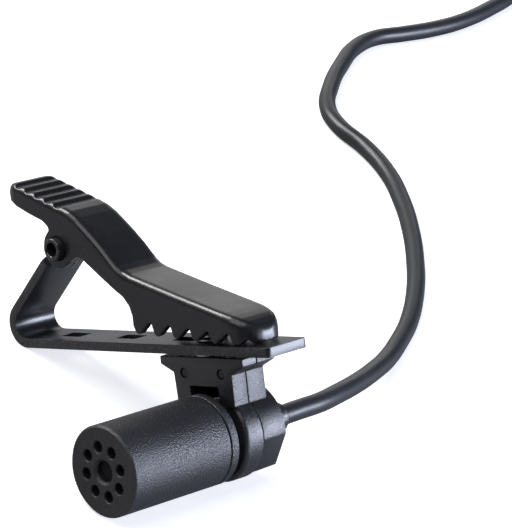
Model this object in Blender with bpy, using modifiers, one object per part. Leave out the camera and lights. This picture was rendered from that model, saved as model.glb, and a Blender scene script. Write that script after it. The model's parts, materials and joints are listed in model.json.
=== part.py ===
"""Lavalier microphone on a spring tie clip, with its cable wound into a coil and its plug.

Units are metres inside Blender; the dimensions below are in millimetres and scaled by MM.
The microphone rests on a flat surface on its holder ring and on the bend of the clip's
tail. +Z is up, the microphone's axis is along Y and its front faces -Y. The clip is
modelled in its own frame: X along the lower jaw towards its tip, Z out of its top face,
from the middle of its underside over the microphone's axis.
"""

from math import acos, atan2, cos, degrees, hypot, pi, radians, sin, sqrt

import bmesh
import bpy
from mathutils import Matrix, Vector

MM = 0.001

# Fits and gaps, in mm.
SLIDE = 0.05
STACK_GAP = 0.03
FACE_GAP = 0.3
SEGMENTS = 40
FINE_SEGMENTS = 24

# Microphone capsule housing, in mm.
MIC_RADIUS = 4.75
MIC_LENGTH = 14.42
HOUSING_WALL = 0.7
FRONT_WALL = 0.8
FRONT_BEVEL = 0.16
HOLE_COUNT = 8
HOLE_RADIUS = 0.6
HOLE_CIRCLE = 2.56
HOLE_PHASE = 34.4
CENTRE_HOLE_RADIUS = 1.1
CENTRE_SINK_RADIUS = 1.38
CENTRE_SINK_DEPTH = 0.3
REAR_RING_WIDTH = 1.0
SEAM_WIDTH = 0.12
SPIGOT_LENGTH = 1.8
NECK_RADIUS = 3.5
NECK_LENGTH = 5.4
WIRE_BORE = 1.3
SCREEN_THICKNESS = 0.3
CAPSULE_RADIUS = 3.0
CAPSULE_LENGTH = 2.7
CAPSULE_PORT = 0.5
GASKET_LENGTH = 2.2
BOARD_THICKNESS = 0.8
CORE_WIRE_RADIUS = 0.2
CORE_WIRE_SPREAD = 0.35

# Holder bracket that joins the microphone to the clip, in mm.
RING_RADIUS = 4.85
RING_FRONT = 1.0
RING_SEAM = 3.4
RING_LENGTH = 5.65
RING_BACK_WALL = 0.8
PLATE_DROP = 8.82
BRACKET_FRONT = 0.53
BRACKET_HALF_DEPTH = 2.05
BRACKET_REAR_DEPTH = 2.55
BRACKET_TOP_GAP = 0.4
FLANGE_HALF_WIDTH = 6.1
FLANGE_EDGE = 0.85
FLANGE_SLOPE = 0.85
NECK_HALF_WIDTH = 4.3
NECK_FOOT_HALF_WIDTH = 4.2
NECK_FOOT = 5.5
WINDOW_HALF_WIDTH = 2.1
WINDOW_TOP = 3.4
RING_FACETS = (-8.0, -56.0, -90.0, -124.0, -172.0)
HOLDER_PIN_RADIUS = 0.5
HOLDER_PIN_X = 2.7
HOLDER_PIN_DROP = 2.1
RETAINER_WIRE = 0.28
RETAINER_HALF_SPAN = 1.6
RELIEF_RADIUS = 1.6
RELIEF_END = 10.6
RELIEF_COLLAR = 2.6
RELIEF_BORE = 0.6

# Tie clip, in mm.
SHEET = 1.0
JAW_WIDTH = 5.64
JAW_TIP = 10.8
JAW_TAIL = 28.63
TIP_CORNER = 0.5
TAIL_BEND = 2.5
ARM_OFFSET = 1.12
ARM_END_GAP = 0.77
ARM_NECK_LENGTH = 0.85
EAR_SHEET = 0.8
EAR_RIM = 0.7
EAR_CLEARANCE = 0.1
PIVOT_X = -18.6
PIVOT_Z = 11.0
PIVOT_RADIUS = 1.2
PIVOT_WALL = 0.45
PIVOT_OVERHANG = 0.85
SLOT_LENGTH = 3.2
SLOT_WIDTH = 1.9
SLOT_PITCH = 8.75
SLOT_COUNT = 3
FIRST_SLOT = -21.15
RIVET_RADIUS = 0.8
RIVET_HEAD_RADIUS = 1.6
RIVET_HEAD_HEIGHT = 0.35
RIVET_STEP_RADIUS = 1.0
RIVET_STEP_HEIGHT = 0.35
RIVET_FOOT_RADIUS = 1.3
RIVET_FOOT_HEIGHT = 0.6
RIVET_LENGTH = 3.0
WASHER_RADIUS = 2.0

# Sprung lever that carries the upper jaw, in mm.
LEVER_WIDTH = 6.4
LEVER_SHEET = 0.8
LEVER_EDGE = 0.9
LEVER_NOSE = 8.3
LEVER_EAR_RIM = 0.95
PAD_START = -26.05
GROOVE_COUNT = 5
GROOVE_PITCH = 1.47
GROOVE_RADIUS = 0.75
GROOVE_DEPTH = 0.2
FIRST_GROOVE = -23.87
TOOTH_COUNT = 6
TOOTH_PITCH = 2.82
FIRST_TOOTH = -7.6
TOOTH_DEPTH = 1.3
FIRST_BITE_GAP = 1.0
LAST_BITE_GAP = 0.15
SPRING_WIRE = 0.22
SPRING_PITCH = 0.52
SPRING_SIDE_GAP = 0.25
SPRING_LEG = 2.0
SPRING_POINTS_PER_TURN = 16

# What follows from the clip's and the lever's sizes, in mm.
EAR_SPAN = LEVER_WIDTH - 2 * (LEVER_SHEET + EAR_CLEARANCE)
EAR_RADIUS = PIVOT_RADIUS + EAR_RIM
LEVER_EAR_RADIUS = PIVOT_RADIUS + LEVER_EAR_RIM
PIVOT_LENGTH = LEVER_WIDTH + 2 * PIVOT_OVERHANG
BITE_START = SHEET + FIRST_BITE_GAP
BITE_END = SHEET + LAST_BITE_GAP
SPRING_SPACE = EAR_SPAN - 2 * (EAR_SHEET + SPRING_SIDE_GAP + SPRING_WIRE)
SPRING_TURNS = int(SPRING_SPACE / SPRING_PITCH)

# Cable, coil and plug, in mm.
CABLE_DIAMETER = 2.2
CABLE_STEP = 3.3
LEAD_STEP = 1.5
COIL_X = -61.0
COIL_Y = 178.0
COIL_RADIUS = 13.0
COIL_WIDTH = 6.8
COIL_HEIGHT = 8.9
TIE_WALL = 0.6
TIE_WIDTH = 3.5
TIE_ANGLE = 20.0
PLUG_AXIS_HEIGHT = 3.9
PLUG_START_X = -31.0
PLUG_START_Y = 190.5
PLUG_HEADING = -14.0
BOOT_LENGTH = 10.0
BOOT_THIN_RADIUS = 1.7
BOOT_THICK_RADIUS = 2.6
BARREL_RADIUS = 3.8
BARREL_LENGTH = 14.5
CONTACT_RADIUS = 1.75
STEM_RADIUS = 0.6
SLEEVE_LENGTH = 6.2
INSULATOR_LENGTH = 0.9
CONTACT_RING_LENGTH = 1.8
TIP_LENGTH = 3.6

# Route of the cable over the surface, from the strain relief to the coil: X, Y from the
# middle of the microphone's front face and the height of the cable's axis, in mm.
ROUTE = (
    (-0.1, 28.0, 4.83),
    (-0.3, 31.3, 4.7),
    (-1.3, 35.3, 4.2),
    (-2.9, 40.0, 3.3),
    (-5.1, 45.4, 2.2),
    (-7.3, 50.4, 1.45),
    (-9.9, 55.3, 1.15),
    (-12.5, 59.6, 1.1),
    (-17.3, 65.8, 1.1),
    (-22.8, 71.6, 1.1),
    (-28.6, 76.9, 1.1),
    (-34.7, 81.6, 1.1),
    (-40.9, 85.4, 1.1),
    (-47.0, 87.6, 1.1),
    (-52.6, 88.5, 1.1),
    (-56.8, 90.6, 1.1),
    (-62.1, 96.5, 1.1),
    (-66.2, 102.6, 1.1),
    (-69.4, 108.4, 1.1),
    (-70.8, 113.8, 1.1),
    (-70.4, 119.4, 1.1),
    (-70.1, 125.0, 1.1),
    (-70.6, 132.0, 1.1),
    (-72.9, 142.0, 1.1),
    (-75.6, 151.0, 1.1),
    (-76.6, 160.0, 1.1),
    (-76.3, 168.8, 1.1),
)
# Route of the short lead from the coil's top turn down to the plug's boot.
LEAD_ROUTE = (
    (-52.0, 193.1, 7.7),
    (-46.0, 192.9, 7.1),
    (-40.0, 192.3, 5.6),
    (-35.5, 191.55, 4.3),
    (-31.3, 190.57, 3.9),
)

# Colours as linear RGB, roughness, metallic.
FINISHES = {
    "black_anodised_aluminium": ((0.022, 0.023, 0.026), 0.38, 0.85),
    "black_plastic": ((0.02, 0.021, 0.024), 0.55, 0.0),
    "black_painted_steel": ((0.018, 0.019, 0.023), 0.3, 0.6),
    "bright_steel": ((0.55, 0.55, 0.56), 0.25, 1.0),
    "spring_steel": ((0.4, 0.4, 0.41), 0.3, 1.0),
    "nickel": ((0.62, 0.6, 0.56), 0.18, 1.0),
    "cable_pvc": ((0.035, 0.042, 0.05), 0.42, 0.0),
    "dust_cloth": ((0.01, 0.01, 0.011), 0.9, 0.0),
    "silicone_rubber": ((0.03, 0.03, 0.03), 0.7, 0.0),
    "circuit_board": ((0.02, 0.09, 0.04), 0.45, 0.0),
    "core_insulation": ((0.45, 0.05, 0.04), 0.5, 0.0),
    "plug_insulator": ((0.03, 0.03, 0.032), 0.45, 0.0),
}

bpy.context.scene.unit_settings.system = "METRIC"
for old in list(bpy.data.objects):
    bpy.data.objects.remove(old, do_unlink=True)


def new_collection(name, hidden=False):
    collection = bpy.data.collections.new(name)
    collection.hide_render = hidden
    bpy.context.scene.collection.children.link(collection)
    return collection


PARTS = new_collection("lavalier_microphone")
CUTTERS = new_collection("cutters", hidden=True)


def material(name):
    """The Principled material of this finish, made once."""
    made = bpy.data.materials.get(name)
    if made:
        return made
    colour, roughness, metallic = FINISHES[name]
    made = bpy.data.materials.new(name)
    made.use_nodes = True
    shader = made.node_tree.nodes["Principled BSDF"]
    shader.inputs["Base Color"].default_value = (*colour, 1.0)
    shader.inputs["Roughness"].default_value = roughness
    shader.inputs["Metallic"].default_value = metallic
    made.diffuse_color = (*colour, 1.0)
    return made


def empty(name, parent=None, location=(0, 0, 0), turn=(0, 0, 0)):
    """An axis that other objects are parented to. Location in mm."""
    made = bpy.data.objects.new(name, None)
    made.empty_display_size = 3 * MM
    made.parent = parent
    made.location = Vector(location) * MM
    made.rotation_euler = turn
    PARTS.objects.link(made)
    return made


def as_part(obj, parent, finish):
    """Moves the object into the parts collection, under its parent, with its material."""
    for collection in list(obj.users_collection):
        collection.objects.unlink(obj)
    PARTS.objects.link(obj)
    obj.parent = parent
    obj.data.materials.clear()
    obj.data.materials.append(material(finish))
    if obj.type == "MESH":
        obj.data.shade_smooth()
        obj.data.set_sharp_from_angle(angle=radians(35))
    return obj


def as_cutter(obj, parent):
    for collection in list(obj.users_collection):
        collection.objects.unlink(obj)
    CUTTERS.objects.link(obj)
    obj.parent = parent
    obj.hide_render = True
    obj.display_type = "WIRE"
    return obj


def mesh_object(name, points, edges=(), faces=()):
    """An object from points in mm."""
    data = bpy.data.meshes.new(name)
    data.from_pydata([Vector(point) * MM for point in points], edges, faces)
    data.update()
    made = bpy.data.objects.new(name, data)
    PARTS.objects.link(made)
    return made


def evaluated_mesh(obj, name):
    """The object's mesh with its modifiers applied, or its curve turned into a welded mesh."""
    bpy.context.view_layer.update()
    graph = bpy.context.evaluated_depsgraph_get()
    data = bpy.data.meshes.new_from_object(obj.evaluated_get(graph))
    data.name = name
    shape = bmesh.new()
    shape.from_mesh(data)
    bmesh.ops.remove_doubles(shape, verts=shape.verts, dist=1e-7)
    bmesh.ops.recalc_face_normals(shape, faces=shape.faces)
    shape.to_mesh(data)
    shape.free()
    return data


def bake(obj):
    """Replaces the object's data by its evaluated mesh and keeps its place."""
    name = obj.name
    made = bpy.data.objects.new(name + "_mesh", evaluated_mesh(obj, name))
    made.parent = obj.parent
    made.location = obj.location
    made.rotation_euler = obj.rotation_euler
    PARTS.objects.link(made)
    bpy.data.objects.remove(obj, do_unlink=True)
    made.name = name
    return made


def turned(name, profile, axis_along_y=True, steps=SEGMENTS):
    """A solid of revolution. The profile holds (radius, station) pairs in mm, running from
    the high station down the outer side; a closed ring's profile repeats its first point."""
    closed = profile[0] == profile[-1]
    ring = profile[:-1] if closed else profile
    edges = [(i, i + 1) for i in range(len(ring) - 1)]
    if closed:
        edges.append((len(ring) - 1, 0))
    made = mesh_object(name, [(radius, 0, station) for radius, station in ring], edges)
    screw = made.modifiers.new("turn", "SCREW")
    screw.steps = steps
    screw.render_steps = steps
    screw.use_merge_vertices = True
    screw.merge_threshold = 1e-6
    made = bake(made)
    if axis_along_y:
        made.rotation_euler = (-pi / 2, 0, 0)
    return made


def tube_profile(outer, inner, low, high, bevel=0.0):
    """A closed ring profile with bevelled outer corners."""
    return [
        (inner, high),
        (outer - bevel, high),
        (outer, high - bevel),
        (outer, low + bevel),
        (outer - bevel, low),
        (inner, low),
        (inner, high),
    ]


def prism(name, outline, low, high):
    """An outline of (x, z) pairs in mm, extruded along Y from low to high."""
    count = len(outline)
    points = [(x, low, z) for x, z in outline] + [(x, high, z) for x, z in outline]
    sides = [(i, (i + 1) % count, count + (i + 1) % count, count + i) for i in range(count)]
    made = mesh_object(name, points, (), [])
    shape = bmesh.new()
    verts = [shape.verts.new(Vector(point) * MM) for point in points]
    for side in sides:
        shape.faces.new([verts[i] for i in side])
    shape.faces.new(verts[:count])
    shape.faces.new(list(reversed(verts[count:])))
    bmesh.ops.recalc_face_normals(shape, faces=shape.faces)
    shape.to_mesh(made.data)
    shape.free()
    return made


def cylinder_along(name, axis, radius, low, high, centre, segments=SEGMENTS):
    """A cylinder along "Y" or "Z" from low to high, through the centre's other two values."""
    shape = bmesh.new()
    bmesh.ops.create_cone(
        shape,
        cap_ends=True,
        segments=segments,
        radius1=radius * MM,
        radius2=radius * MM,
        depth=(high - low) * MM,
    )
    middle = (low + high) / 2
    if axis == "Y":
        bmesh.ops.rotate(shape, verts=shape.verts, matrix=Matrix.Rotation(pi / 2, 3, "X"))
        place = (centre[0], middle, centre[1])
    else:
        place = (centre[0], centre[1], middle)
    bmesh.ops.translate(shape, verts=shape.verts, vec=Vector(place) * MM)
    made = mesh_object(name, [])
    shape.to_mesh(made.data)
    shape.free()
    return made


def box(name, low, high):
    """A box between two corners in mm."""
    shape = bmesh.new()
    bmesh.ops.create_cube(shape, size=1.0)
    size = Vector(high) - Vector(low)
    bmesh.ops.scale(shape, verts=shape.verts, vec=size * MM)
    bmesh.ops.translate(shape, verts=shape.verts, vec=(Vector(high) + Vector(low)) * MM / 2)
    made = mesh_object(name, [])
    shape.to_mesh(made.data)
    shape.free()
    return made


def combine(target, other, operation, solver="EXACT"):
    """Adds a Boolean to the target. The other object becomes a cutter under its parent."""
    as_cutter(other, target.parent)
    step = target.modifiers.new(other.name, "BOOLEAN")
    step.operation = operation
    step.solver = solver
    step.object = other
    return target


def bevel_edges(obj, width, segments=2, angle=50):
    step = obj.modifiers.new("edges", "BEVEL")
    step.width = width * MM
    step.segments = segments
    step.limit_method = "ANGLE"
    step.angle_limit = radians(angle)
    return obj


def smooth_points(route, step):
    """Points a step apart on the smooth curve through a route. All in mm."""
    knots = [Vector(point) for point in route]
    knots = [2 * knots[0] - knots[1], *knots, 2 * knots[-1] - knots[-2]]
    fine = []
    samples = 24
    for before, start, end, after in zip(knots, knots[1:], knots[2:], knots[3:]):
        for i in range(samples):
            t = i / samples
            fine.append(
                0.5
                * (
                    2 * start
                    + (end - before) * t
                    + (2 * before - 5 * start + 4 * end - after) * t**2
                    + (3 * start - before - 3 * end + after) * t**3
                )
            )
    fine.append(knots[-2])
    total = sum((b - a).length for a, b in zip(fine, fine[1:]))
    count = max(2, round(total / step))
    spacing = total / count
    points = [fine[0]]
    travelled = 0.0
    for a, b in zip(fine, fine[1:]):
        length = (b - a).length
        while len(points) < count and travelled + length >= spacing * len(points):
            share = (spacing * len(points) - travelled) / length
            points.append(a.lerp(b, share))
        travelled += length
    points.append(fine[-1])
    return points


def wire(name, points, radius, resolution=2):
    """A round tube through points in mm, with filled ends."""
    data = bpy.data.curves.new(name, "CURVE")
    data.dimensions = "3D"
    data.bevel_depth = radius * MM
    data.bevel_resolution = resolution
    data.use_fill_caps = True
    spline = data.splines.new("POLY")
    spline.points.add(len(points) - 1)
    for target, point in zip(spline.points, points):
        target.co = (*(Vector(point) * MM), 1.0)
    made = bpy.data.objects.new(name, data)
    PARTS.objects.link(made)
    return made


def arc(centre_x, centre_z, radius, start, end, count):
    """Points in mm on an arc, between two angles in degrees."""
    steps = [start + (end - start) * i / count for i in range(count + 1)]
    return [
        (centre_x + radius * cos(radians(a)), centre_z + radius * sin(radians(a)))
        for a in steps
    ]


def resting_pitch():
    """The clip's tilt when the holder ring and the bend of the tail both touch the surface."""
    back = JAW_TAIL - TAIL_BEND
    height = PLATE_DROP + TAIL_BEND
    return acos((TAIL_BEND - RING_RADIUS) / hypot(back, height)) - atan2(back, height)


def arm_line():
    """The arm's slope in degrees, and how far along it from the bend the pivot stands.

    The arm leaves the tail's bend along its tangent, and its outer face passes the pivot's
    axis at ARM_OFFSET.
    """
    along, up = PIVOT_X + JAW_TAIL - TAIL_BEND, PIVOT_Z - TAIL_BEND
    inset = TAIL_BEND - ARM_OFFSET
    reach = sqrt(hypot(along, up) ** 2 - inset**2)
    return degrees(atan2(up, along) - atan2(inset, reach)), reach


# Frames. The clip's frame has its origin on the swivel axis, at the lower jaw's underside.
PITCH = resting_pitch()
ARM_ANGLE, PIVOT_REACH = arm_line()
ARM_LENGTH = PIVOT_REACH - PIVOT_RADIUS - ARM_END_GAP
ARM_WIDE_LENGTH = ARM_LENGTH - ARM_NECK_LENGTH
BRACKET_MIDDLE = MIC_LENGTH + BRACKET_FRONT + BRACKET_HALF_DEPTH
stand = empty("stand")
mic_axis = empty("mic_axis", stand, (0, 0, RING_RADIUS))
clip_swivel = empty(
    "clip_swivel",
    stand,
    (
        -PLATE_DROP * sin(PITCH),
        BRACKET_MIDDLE,
        RING_RADIUS + PLATE_DROP * cos(PITCH),
    ),
    (0, -PITCH, 0),
)
jaw_hinge = empty("jaw_hinge", clip_swivel, (PIVOT_X, 0, PIVOT_Z))


# Microphone capsule and what it holds, on the microphone's axis.
def make_housing():
    inner = MIC_RADIUS - HOUSING_WALL
    end = MIC_LENGTH - REAR_RING_WIDTH - SEAM_WIDTH
    edge = 0.1
    housing = turned(
        "mic_housing",
        [
            (inner, end),
            (MIC_RADIUS - edge, end),
            (MIC_RADIUS, end - edge),
            (MIC_RADIUS, FRONT_BEVEL),
            (MIC_RADIUS - FRONT_BEVEL, 0),
            (CENTRE_SINK_RADIUS, 0),
            (CENTRE_HOLE_RADIUS, CENTRE_SINK_DEPTH),
            (CENTRE_HOLE_RADIUS, FRONT_WALL),
            (inner, FRONT_WALL),
            (inner, end),
        ],
    )
    housing = as_part(housing, mic_axis, "black_anodised_aluminium")
    for i in range(HOLE_COUNT):
        angle = radians(HOLE_PHASE + 360 / HOLE_COUNT * i)
        centre = (HOLE_CIRCLE * cos(angle), HOLE_CIRCLE * sin(angle))
        hole = cylinder_along(
            f"sound_hole_{i + 1}",
            "Y",
            HOLE_RADIUS,
            -1,
            FRONT_WALL + 1,
            centre,
            FINE_SEGMENTS,
        )
        combine(housing, hole, "DIFFERENCE")


def make_mic_insides():
    inner = MIC_RADIUS - HOUSING_WALL
    screen_start = FRONT_WALL + STACK_GAP
    screen = turned(
        "dust_screen",
        [
            (0, screen_start + SCREEN_THICKNESS),
            (inner - SLIDE, screen_start + SCREEN_THICKNESS),
            (inner - SLIDE, screen_start),
            (0, screen_start),
        ],
    )
    as_part(screen, mic_axis, "dust_cloth")
    capsule_start = screen_start + SCREEN_THICKNESS + STACK_GAP
    capsule_end = capsule_start + CAPSULE_LENGTH
    port_depth = 0.4
    edge = 0.2
    capsule = turned(
        "electret_capsule",
        [
            (0, capsule_end),
            (CAPSULE_RADIUS, capsule_end),
            (CAPSULE_RADIUS, capsule_start + edge),
            (CAPSULE_RADIUS - edge, capsule_start),
            (CAPSULE_PORT, capsule_start),
            (CAPSULE_PORT, capsule_start + port_depth),
            (0, capsule_start + port_depth),
        ],
    )
    as_part(capsule, mic_axis, "nickel")
    gasket_start = capsule_start + (CAPSULE_LENGTH - GASKET_LENGTH) / 2
    gasket = turned(
        "capsule_gasket",
        tube_profile(
            inner - SLIDE,
            CAPSULE_RADIUS + SLIDE,
            gasket_start,
            gasket_start + GASKET_LENGTH,
        ),
    )
    as_part(gasket, mic_axis, "silicone_rubber")
    board_start = capsule_end + STACK_GAP
    board_end = board_start + BOARD_THICKNESS
    board = turned(
        "capsule_board",
        [
            (0, board_end),
            (CAPSULE_RADIUS, board_end),
            (CAPSULE_RADIUS, board_start),
            (0, board_start),
        ],
    )
    as_part(board, mic_axis, "circuit_board")
    wire_start = board_end + STACK_GAP
    wire_end = MIC_LENGTH + RELIEF_END - RELIEF_COLLAR
    for side, name in ((-1, "core_wire_signal"), (1, "core_wire_return")):
        offset = side * CORE_WIRE_SPREAD
        core = wire(
            name,
            [(offset, wire_start, 0), (offset, wire_end, 0)],
            CORE_WIRE_RADIUS,
        )
        as_part(core, mic_axis, "core_insulation")


def make_rear_cap():
    inner = MIC_RADIUS - HOUSING_WALL
    flange_start = MIC_LENGTH - REAR_RING_WIDTH
    neck_end = MIC_LENGTH + NECK_LENGTH
    edge = 0.12
    cap = turned(
        "rear_cap",
        [
            (WIRE_BORE, neck_end),
            (NECK_RADIUS, neck_end),
            (NECK_RADIUS, MIC_LENGTH),
            (MIC_RADIUS - edge, MIC_LENGTH),
            (MIC_RADIUS, MIC_LENGTH - edge),
            (MIC_RADIUS, flange_start + edge),
            (MIC_RADIUS - edge, flange_start),
            (inner - SLIDE, flange_start),
            (inner - SLIDE, flange_start - SPIGOT_LENGTH),
            (WIRE_BORE, flange_start - SPIGOT_LENGTH),
            (WIRE_BORE, neck_end),
        ],
    )
    as_part(cap, mic_axis, "black_anodised_aluminium")


def make_strain_relief():
    start = MIC_LENGTH + NECK_LENGTH + STACK_GAP
    end = MIC_LENGTH + RELIEF_END
    edge = 0.25
    relief = turned(
        "strain_relief",
        [
            (RELIEF_BORE, end - RELIEF_COLLAR),
            (0, end - RELIEF_COLLAR),
            (0, end),
            (RELIEF_RADIUS - edge, end),
            (RELIEF_RADIUS, end - edge),
            (RELIEF_RADIUS, start),
            (RELIEF_BORE, start),
            (RELIEF_BORE, end - RELIEF_COLLAR),
        ],
    )
    as_part(relief, mic_axis, "black_plastic")


# Holder bracket, in the clip's frame. Its Y stations are from the swivel axis.
def bracket_outline():
    top = -BRACKET_TOP_GAP
    shoulder = top - FLANGE_EDGE
    half = [
        (FLANGE_HALF_WIDTH, top),
        (FLANGE_HALF_WIDTH, shoulder),
        (NECK_HALF_WIDTH, shoulder - FLANGE_SLOPE),
        (NECK_FOOT_HALF_WIDTH, -NECK_FOOT),
    ]
    return half + [(-x, z) for x, z in reversed(half)]


def ring_front_blank(start, end):
    """The front part of the ring: round outside, with a softened front edge."""
    edge = 0.45
    blank = turned(
        "ring_front_blank",
        [
            (0, end),
            (RING_RADIUS, end),
            (RING_RADIUS, start + edge),
            (RING_RADIUS - edge, start),
            (0, start),
        ],
    )
    blank.location = Vector((0, 0, -PLATE_DROP)) * MM
    return blank


def ring_rear_blank(start, end):
    """The rear part of the ring: round above and faceted below."""
    outline = arc(0, -PLATE_DROP, RING_RADIUS, 188, RING_FACETS[0], 40)
    outline += [
        arc(0, -PLATE_DROP, RING_RADIUS, angle, angle, 1)[0] for angle in RING_FACETS[1:-1]
    ]
    return bevel_edges(prism("ring_rear_blank", outline, start, end), 0.25, 2, 70)


def cut_holder(half, low, high):
    """Cuts what both halves share: the neck's bore, the pins' holes and the rivet's pocket."""
    margin = 1.0
    ring_back = MIC_LENGTH + RING_FRONT + RING_LENGTH - BRACKET_MIDDLE
    bore_end = ring_back - RING_BACK_WALL
    bore = cylinder_along(
        half.name + "_bore", "Y", NECK_RADIUS + SLIDE, low - margin, bore_end, (0, -PLATE_DROP)
    )
    combine(half, bore, "DIFFERENCE", "MANIFOLD")
    for side in (-1, 1):
        hole = cylinder_along(
            f"{half.name}_pin_hole_{side + 2}",
            "Y",
            HOLDER_PIN_RADIUS + SLIDE,
            low - margin,
            high + margin,
            (side * HOLDER_PIN_X, -HOLDER_PIN_DROP),
            FINE_SEGMENTS,
        )
        combine(half, hole, "DIFFERENCE", "MANIFOLD")
    shank = cylinder_along(
        half.name + "_rivet_hole", "Z", RIVET_RADIUS + SLIDE, -RIVET_LENGTH, margin, (0, 0)
    )
    combine(half, shank, "DIFFERENCE", "MANIFOLD")
    foot_top = -RIVET_LENGTH + RIVET_FOOT_HEIGHT + 2 * STACK_GAP
    foot = cylinder_along(
        half.name + "_rivet_pocket",
        "Z",
        RIVET_FOOT_RADIUS + SLIDE,
        -RIVET_LENGTH - STACK_GAP,
        foot_top,
        (0, 0),
    )
    combine(half, foot, "DIFFERENCE", "MANIFOLD")
    window = box(
        half.name + "_window",
        (-WINDOW_HALF_WIDTH, low - margin, -NECK_FOOT - margin),
        (WINDOW_HALF_WIDTH, BRACKET_HALF_DEPTH / 2, -WINDOW_TOP),
    )
    return combine(half, window, "DIFFERENCE", "MANIFOLD")


def make_holder():
    seam = STACK_GAP / 2
    ring_start = MIC_LENGTH + RING_FRONT - BRACKET_MIDDLE
    ring_seam = MIC_LENGTH + RING_SEAM - BRACKET_MIDDLE
    ring_back = ring_start + RING_LENGTH

    front = prism("holder_front", bracket_outline(), -BRACKET_HALF_DEPTH, -seam)
    front = as_part(bevel_edges(front, 0.15), clip_swivel, "black_plastic")
    combine(front, ring_front_blank(ring_start, ring_seam - seam), "UNION", "MANIFOLD")
    cut_holder(front, -BRACKET_HALF_DEPTH, ring_seam)

    rear = prism("holder_rear", bracket_outline(), seam, BRACKET_REAR_DEPTH)
    rear = as_part(bevel_edges(rear, 0.15), clip_swivel, "black_plastic")
    notch = cylinder_along(
        "ring_notch", "Y", RING_RADIUS + STACK_GAP, -1, ring_seam + seam, (0, -PLATE_DROP)
    )
    combine(rear, notch, "DIFFERENCE", "MANIFOLD")
    combine(rear, ring_rear_blank(ring_seam + seam, ring_back), "UNION", "MANIFOLD")
    cut_holder(rear, 0, ring_back)
    relief_hole = cylinder_along(
        "relief_hole", "Y", RELIEF_RADIUS + SLIDE, ring_seam, ring_back + 1, (0, -PLATE_DROP)
    )
    combine(rear, relief_hole, "DIFFERENCE", "MANIFOLD")

    inset = 0.1
    for side, name in ((-1, "holder_pin_left"), (1, "holder_pin_right")):
        pin = cylinder_along(
            name,
            "Y",
            HOLDER_PIN_RADIUS,
            -BRACKET_HALF_DEPTH + inset,
            BRACKET_REAR_DEPTH - inset,
            (side * HOLDER_PIN_X, -HOLDER_PIN_DROP),
            FINE_SEGMENTS,
        )
        as_part(pin, clip_swivel, "black_painted_steel")

    # The spring wire lies across the window on the microphone's neck.
    height = -PLATE_DROP + NECK_RADIUS + RETAINER_WIRE + SLIDE
    y = -BRACKET_HALF_DEPTH / 2
    rise = 0.7
    points = smooth_points(
        [
            (-RETAINER_HALF_SPAN, y, height + rise * 0.4),
            (-RETAINER_HALF_SPAN * 0.6, y, height + rise * 0.1),
            (0, y, height),
            (RETAINER_HALF_SPAN * 0.6, y, height + rise * 0.1),
            (RETAINER_HALF_SPAN, y, height + rise * 0.4),
        ],
        0.3,
    )
    retainer = wire("retaining_wire", points, RETAINER_WIRE)
    as_part(retainer, clip_swivel, "bright_steel")


# Lower jaw: one sheet, bent up at the tail into an arm whose end carries two ears.
def arm_direction():
    return Vector((cos(radians(ARM_ANGLE)), 0, sin(radians(ARM_ANGLE))))


def arm_foot():
    """Where the arm's outer face leaves the bend."""
    centre = Vector((-JAW_TAIL + TAIL_BEND, 0, TAIL_BEND))
    outward = Vector((-sin(radians(ARM_ANGLE)), 0, cos(radians(ARM_ANGLE))))
    return centre + outward * TAIL_BEND


def jaw_stations():
    """(x, z, half width) of the sheet's outer face, from the tip to the arm's end."""
    half = JAW_WIDTH / 2
    stations = [
        (JAW_TIP, 0, half - TIP_CORNER),
        (JAW_TIP - TIP_CORNER * 0.3, 0, half - TIP_CORNER * 0.3),
        (JAW_TIP - TIP_CORNER, 0, half),
    ]
    bend = arc(-JAW_TAIL + TAIL_BEND, TAIL_BEND, TAIL_BEND, 270, 90 + ARM_ANGLE, 12)
    stations += [(x, z, half) for x, z in bend]
    narrow = EAR_SPAN / 2
    for distance, width in (
        (ARM_WIDE_LENGTH - 0.4, half),
        (ARM_WIDE_LENGTH, narrow + 0.3),
        (ARM_WIDE_LENGTH + 0.2, narrow),
        (ARM_LENGTH, narrow),
    ):
        point = arm_foot() + arm_direction() * distance
        stations.append((point.x, point.z, width))
    return stations


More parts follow.
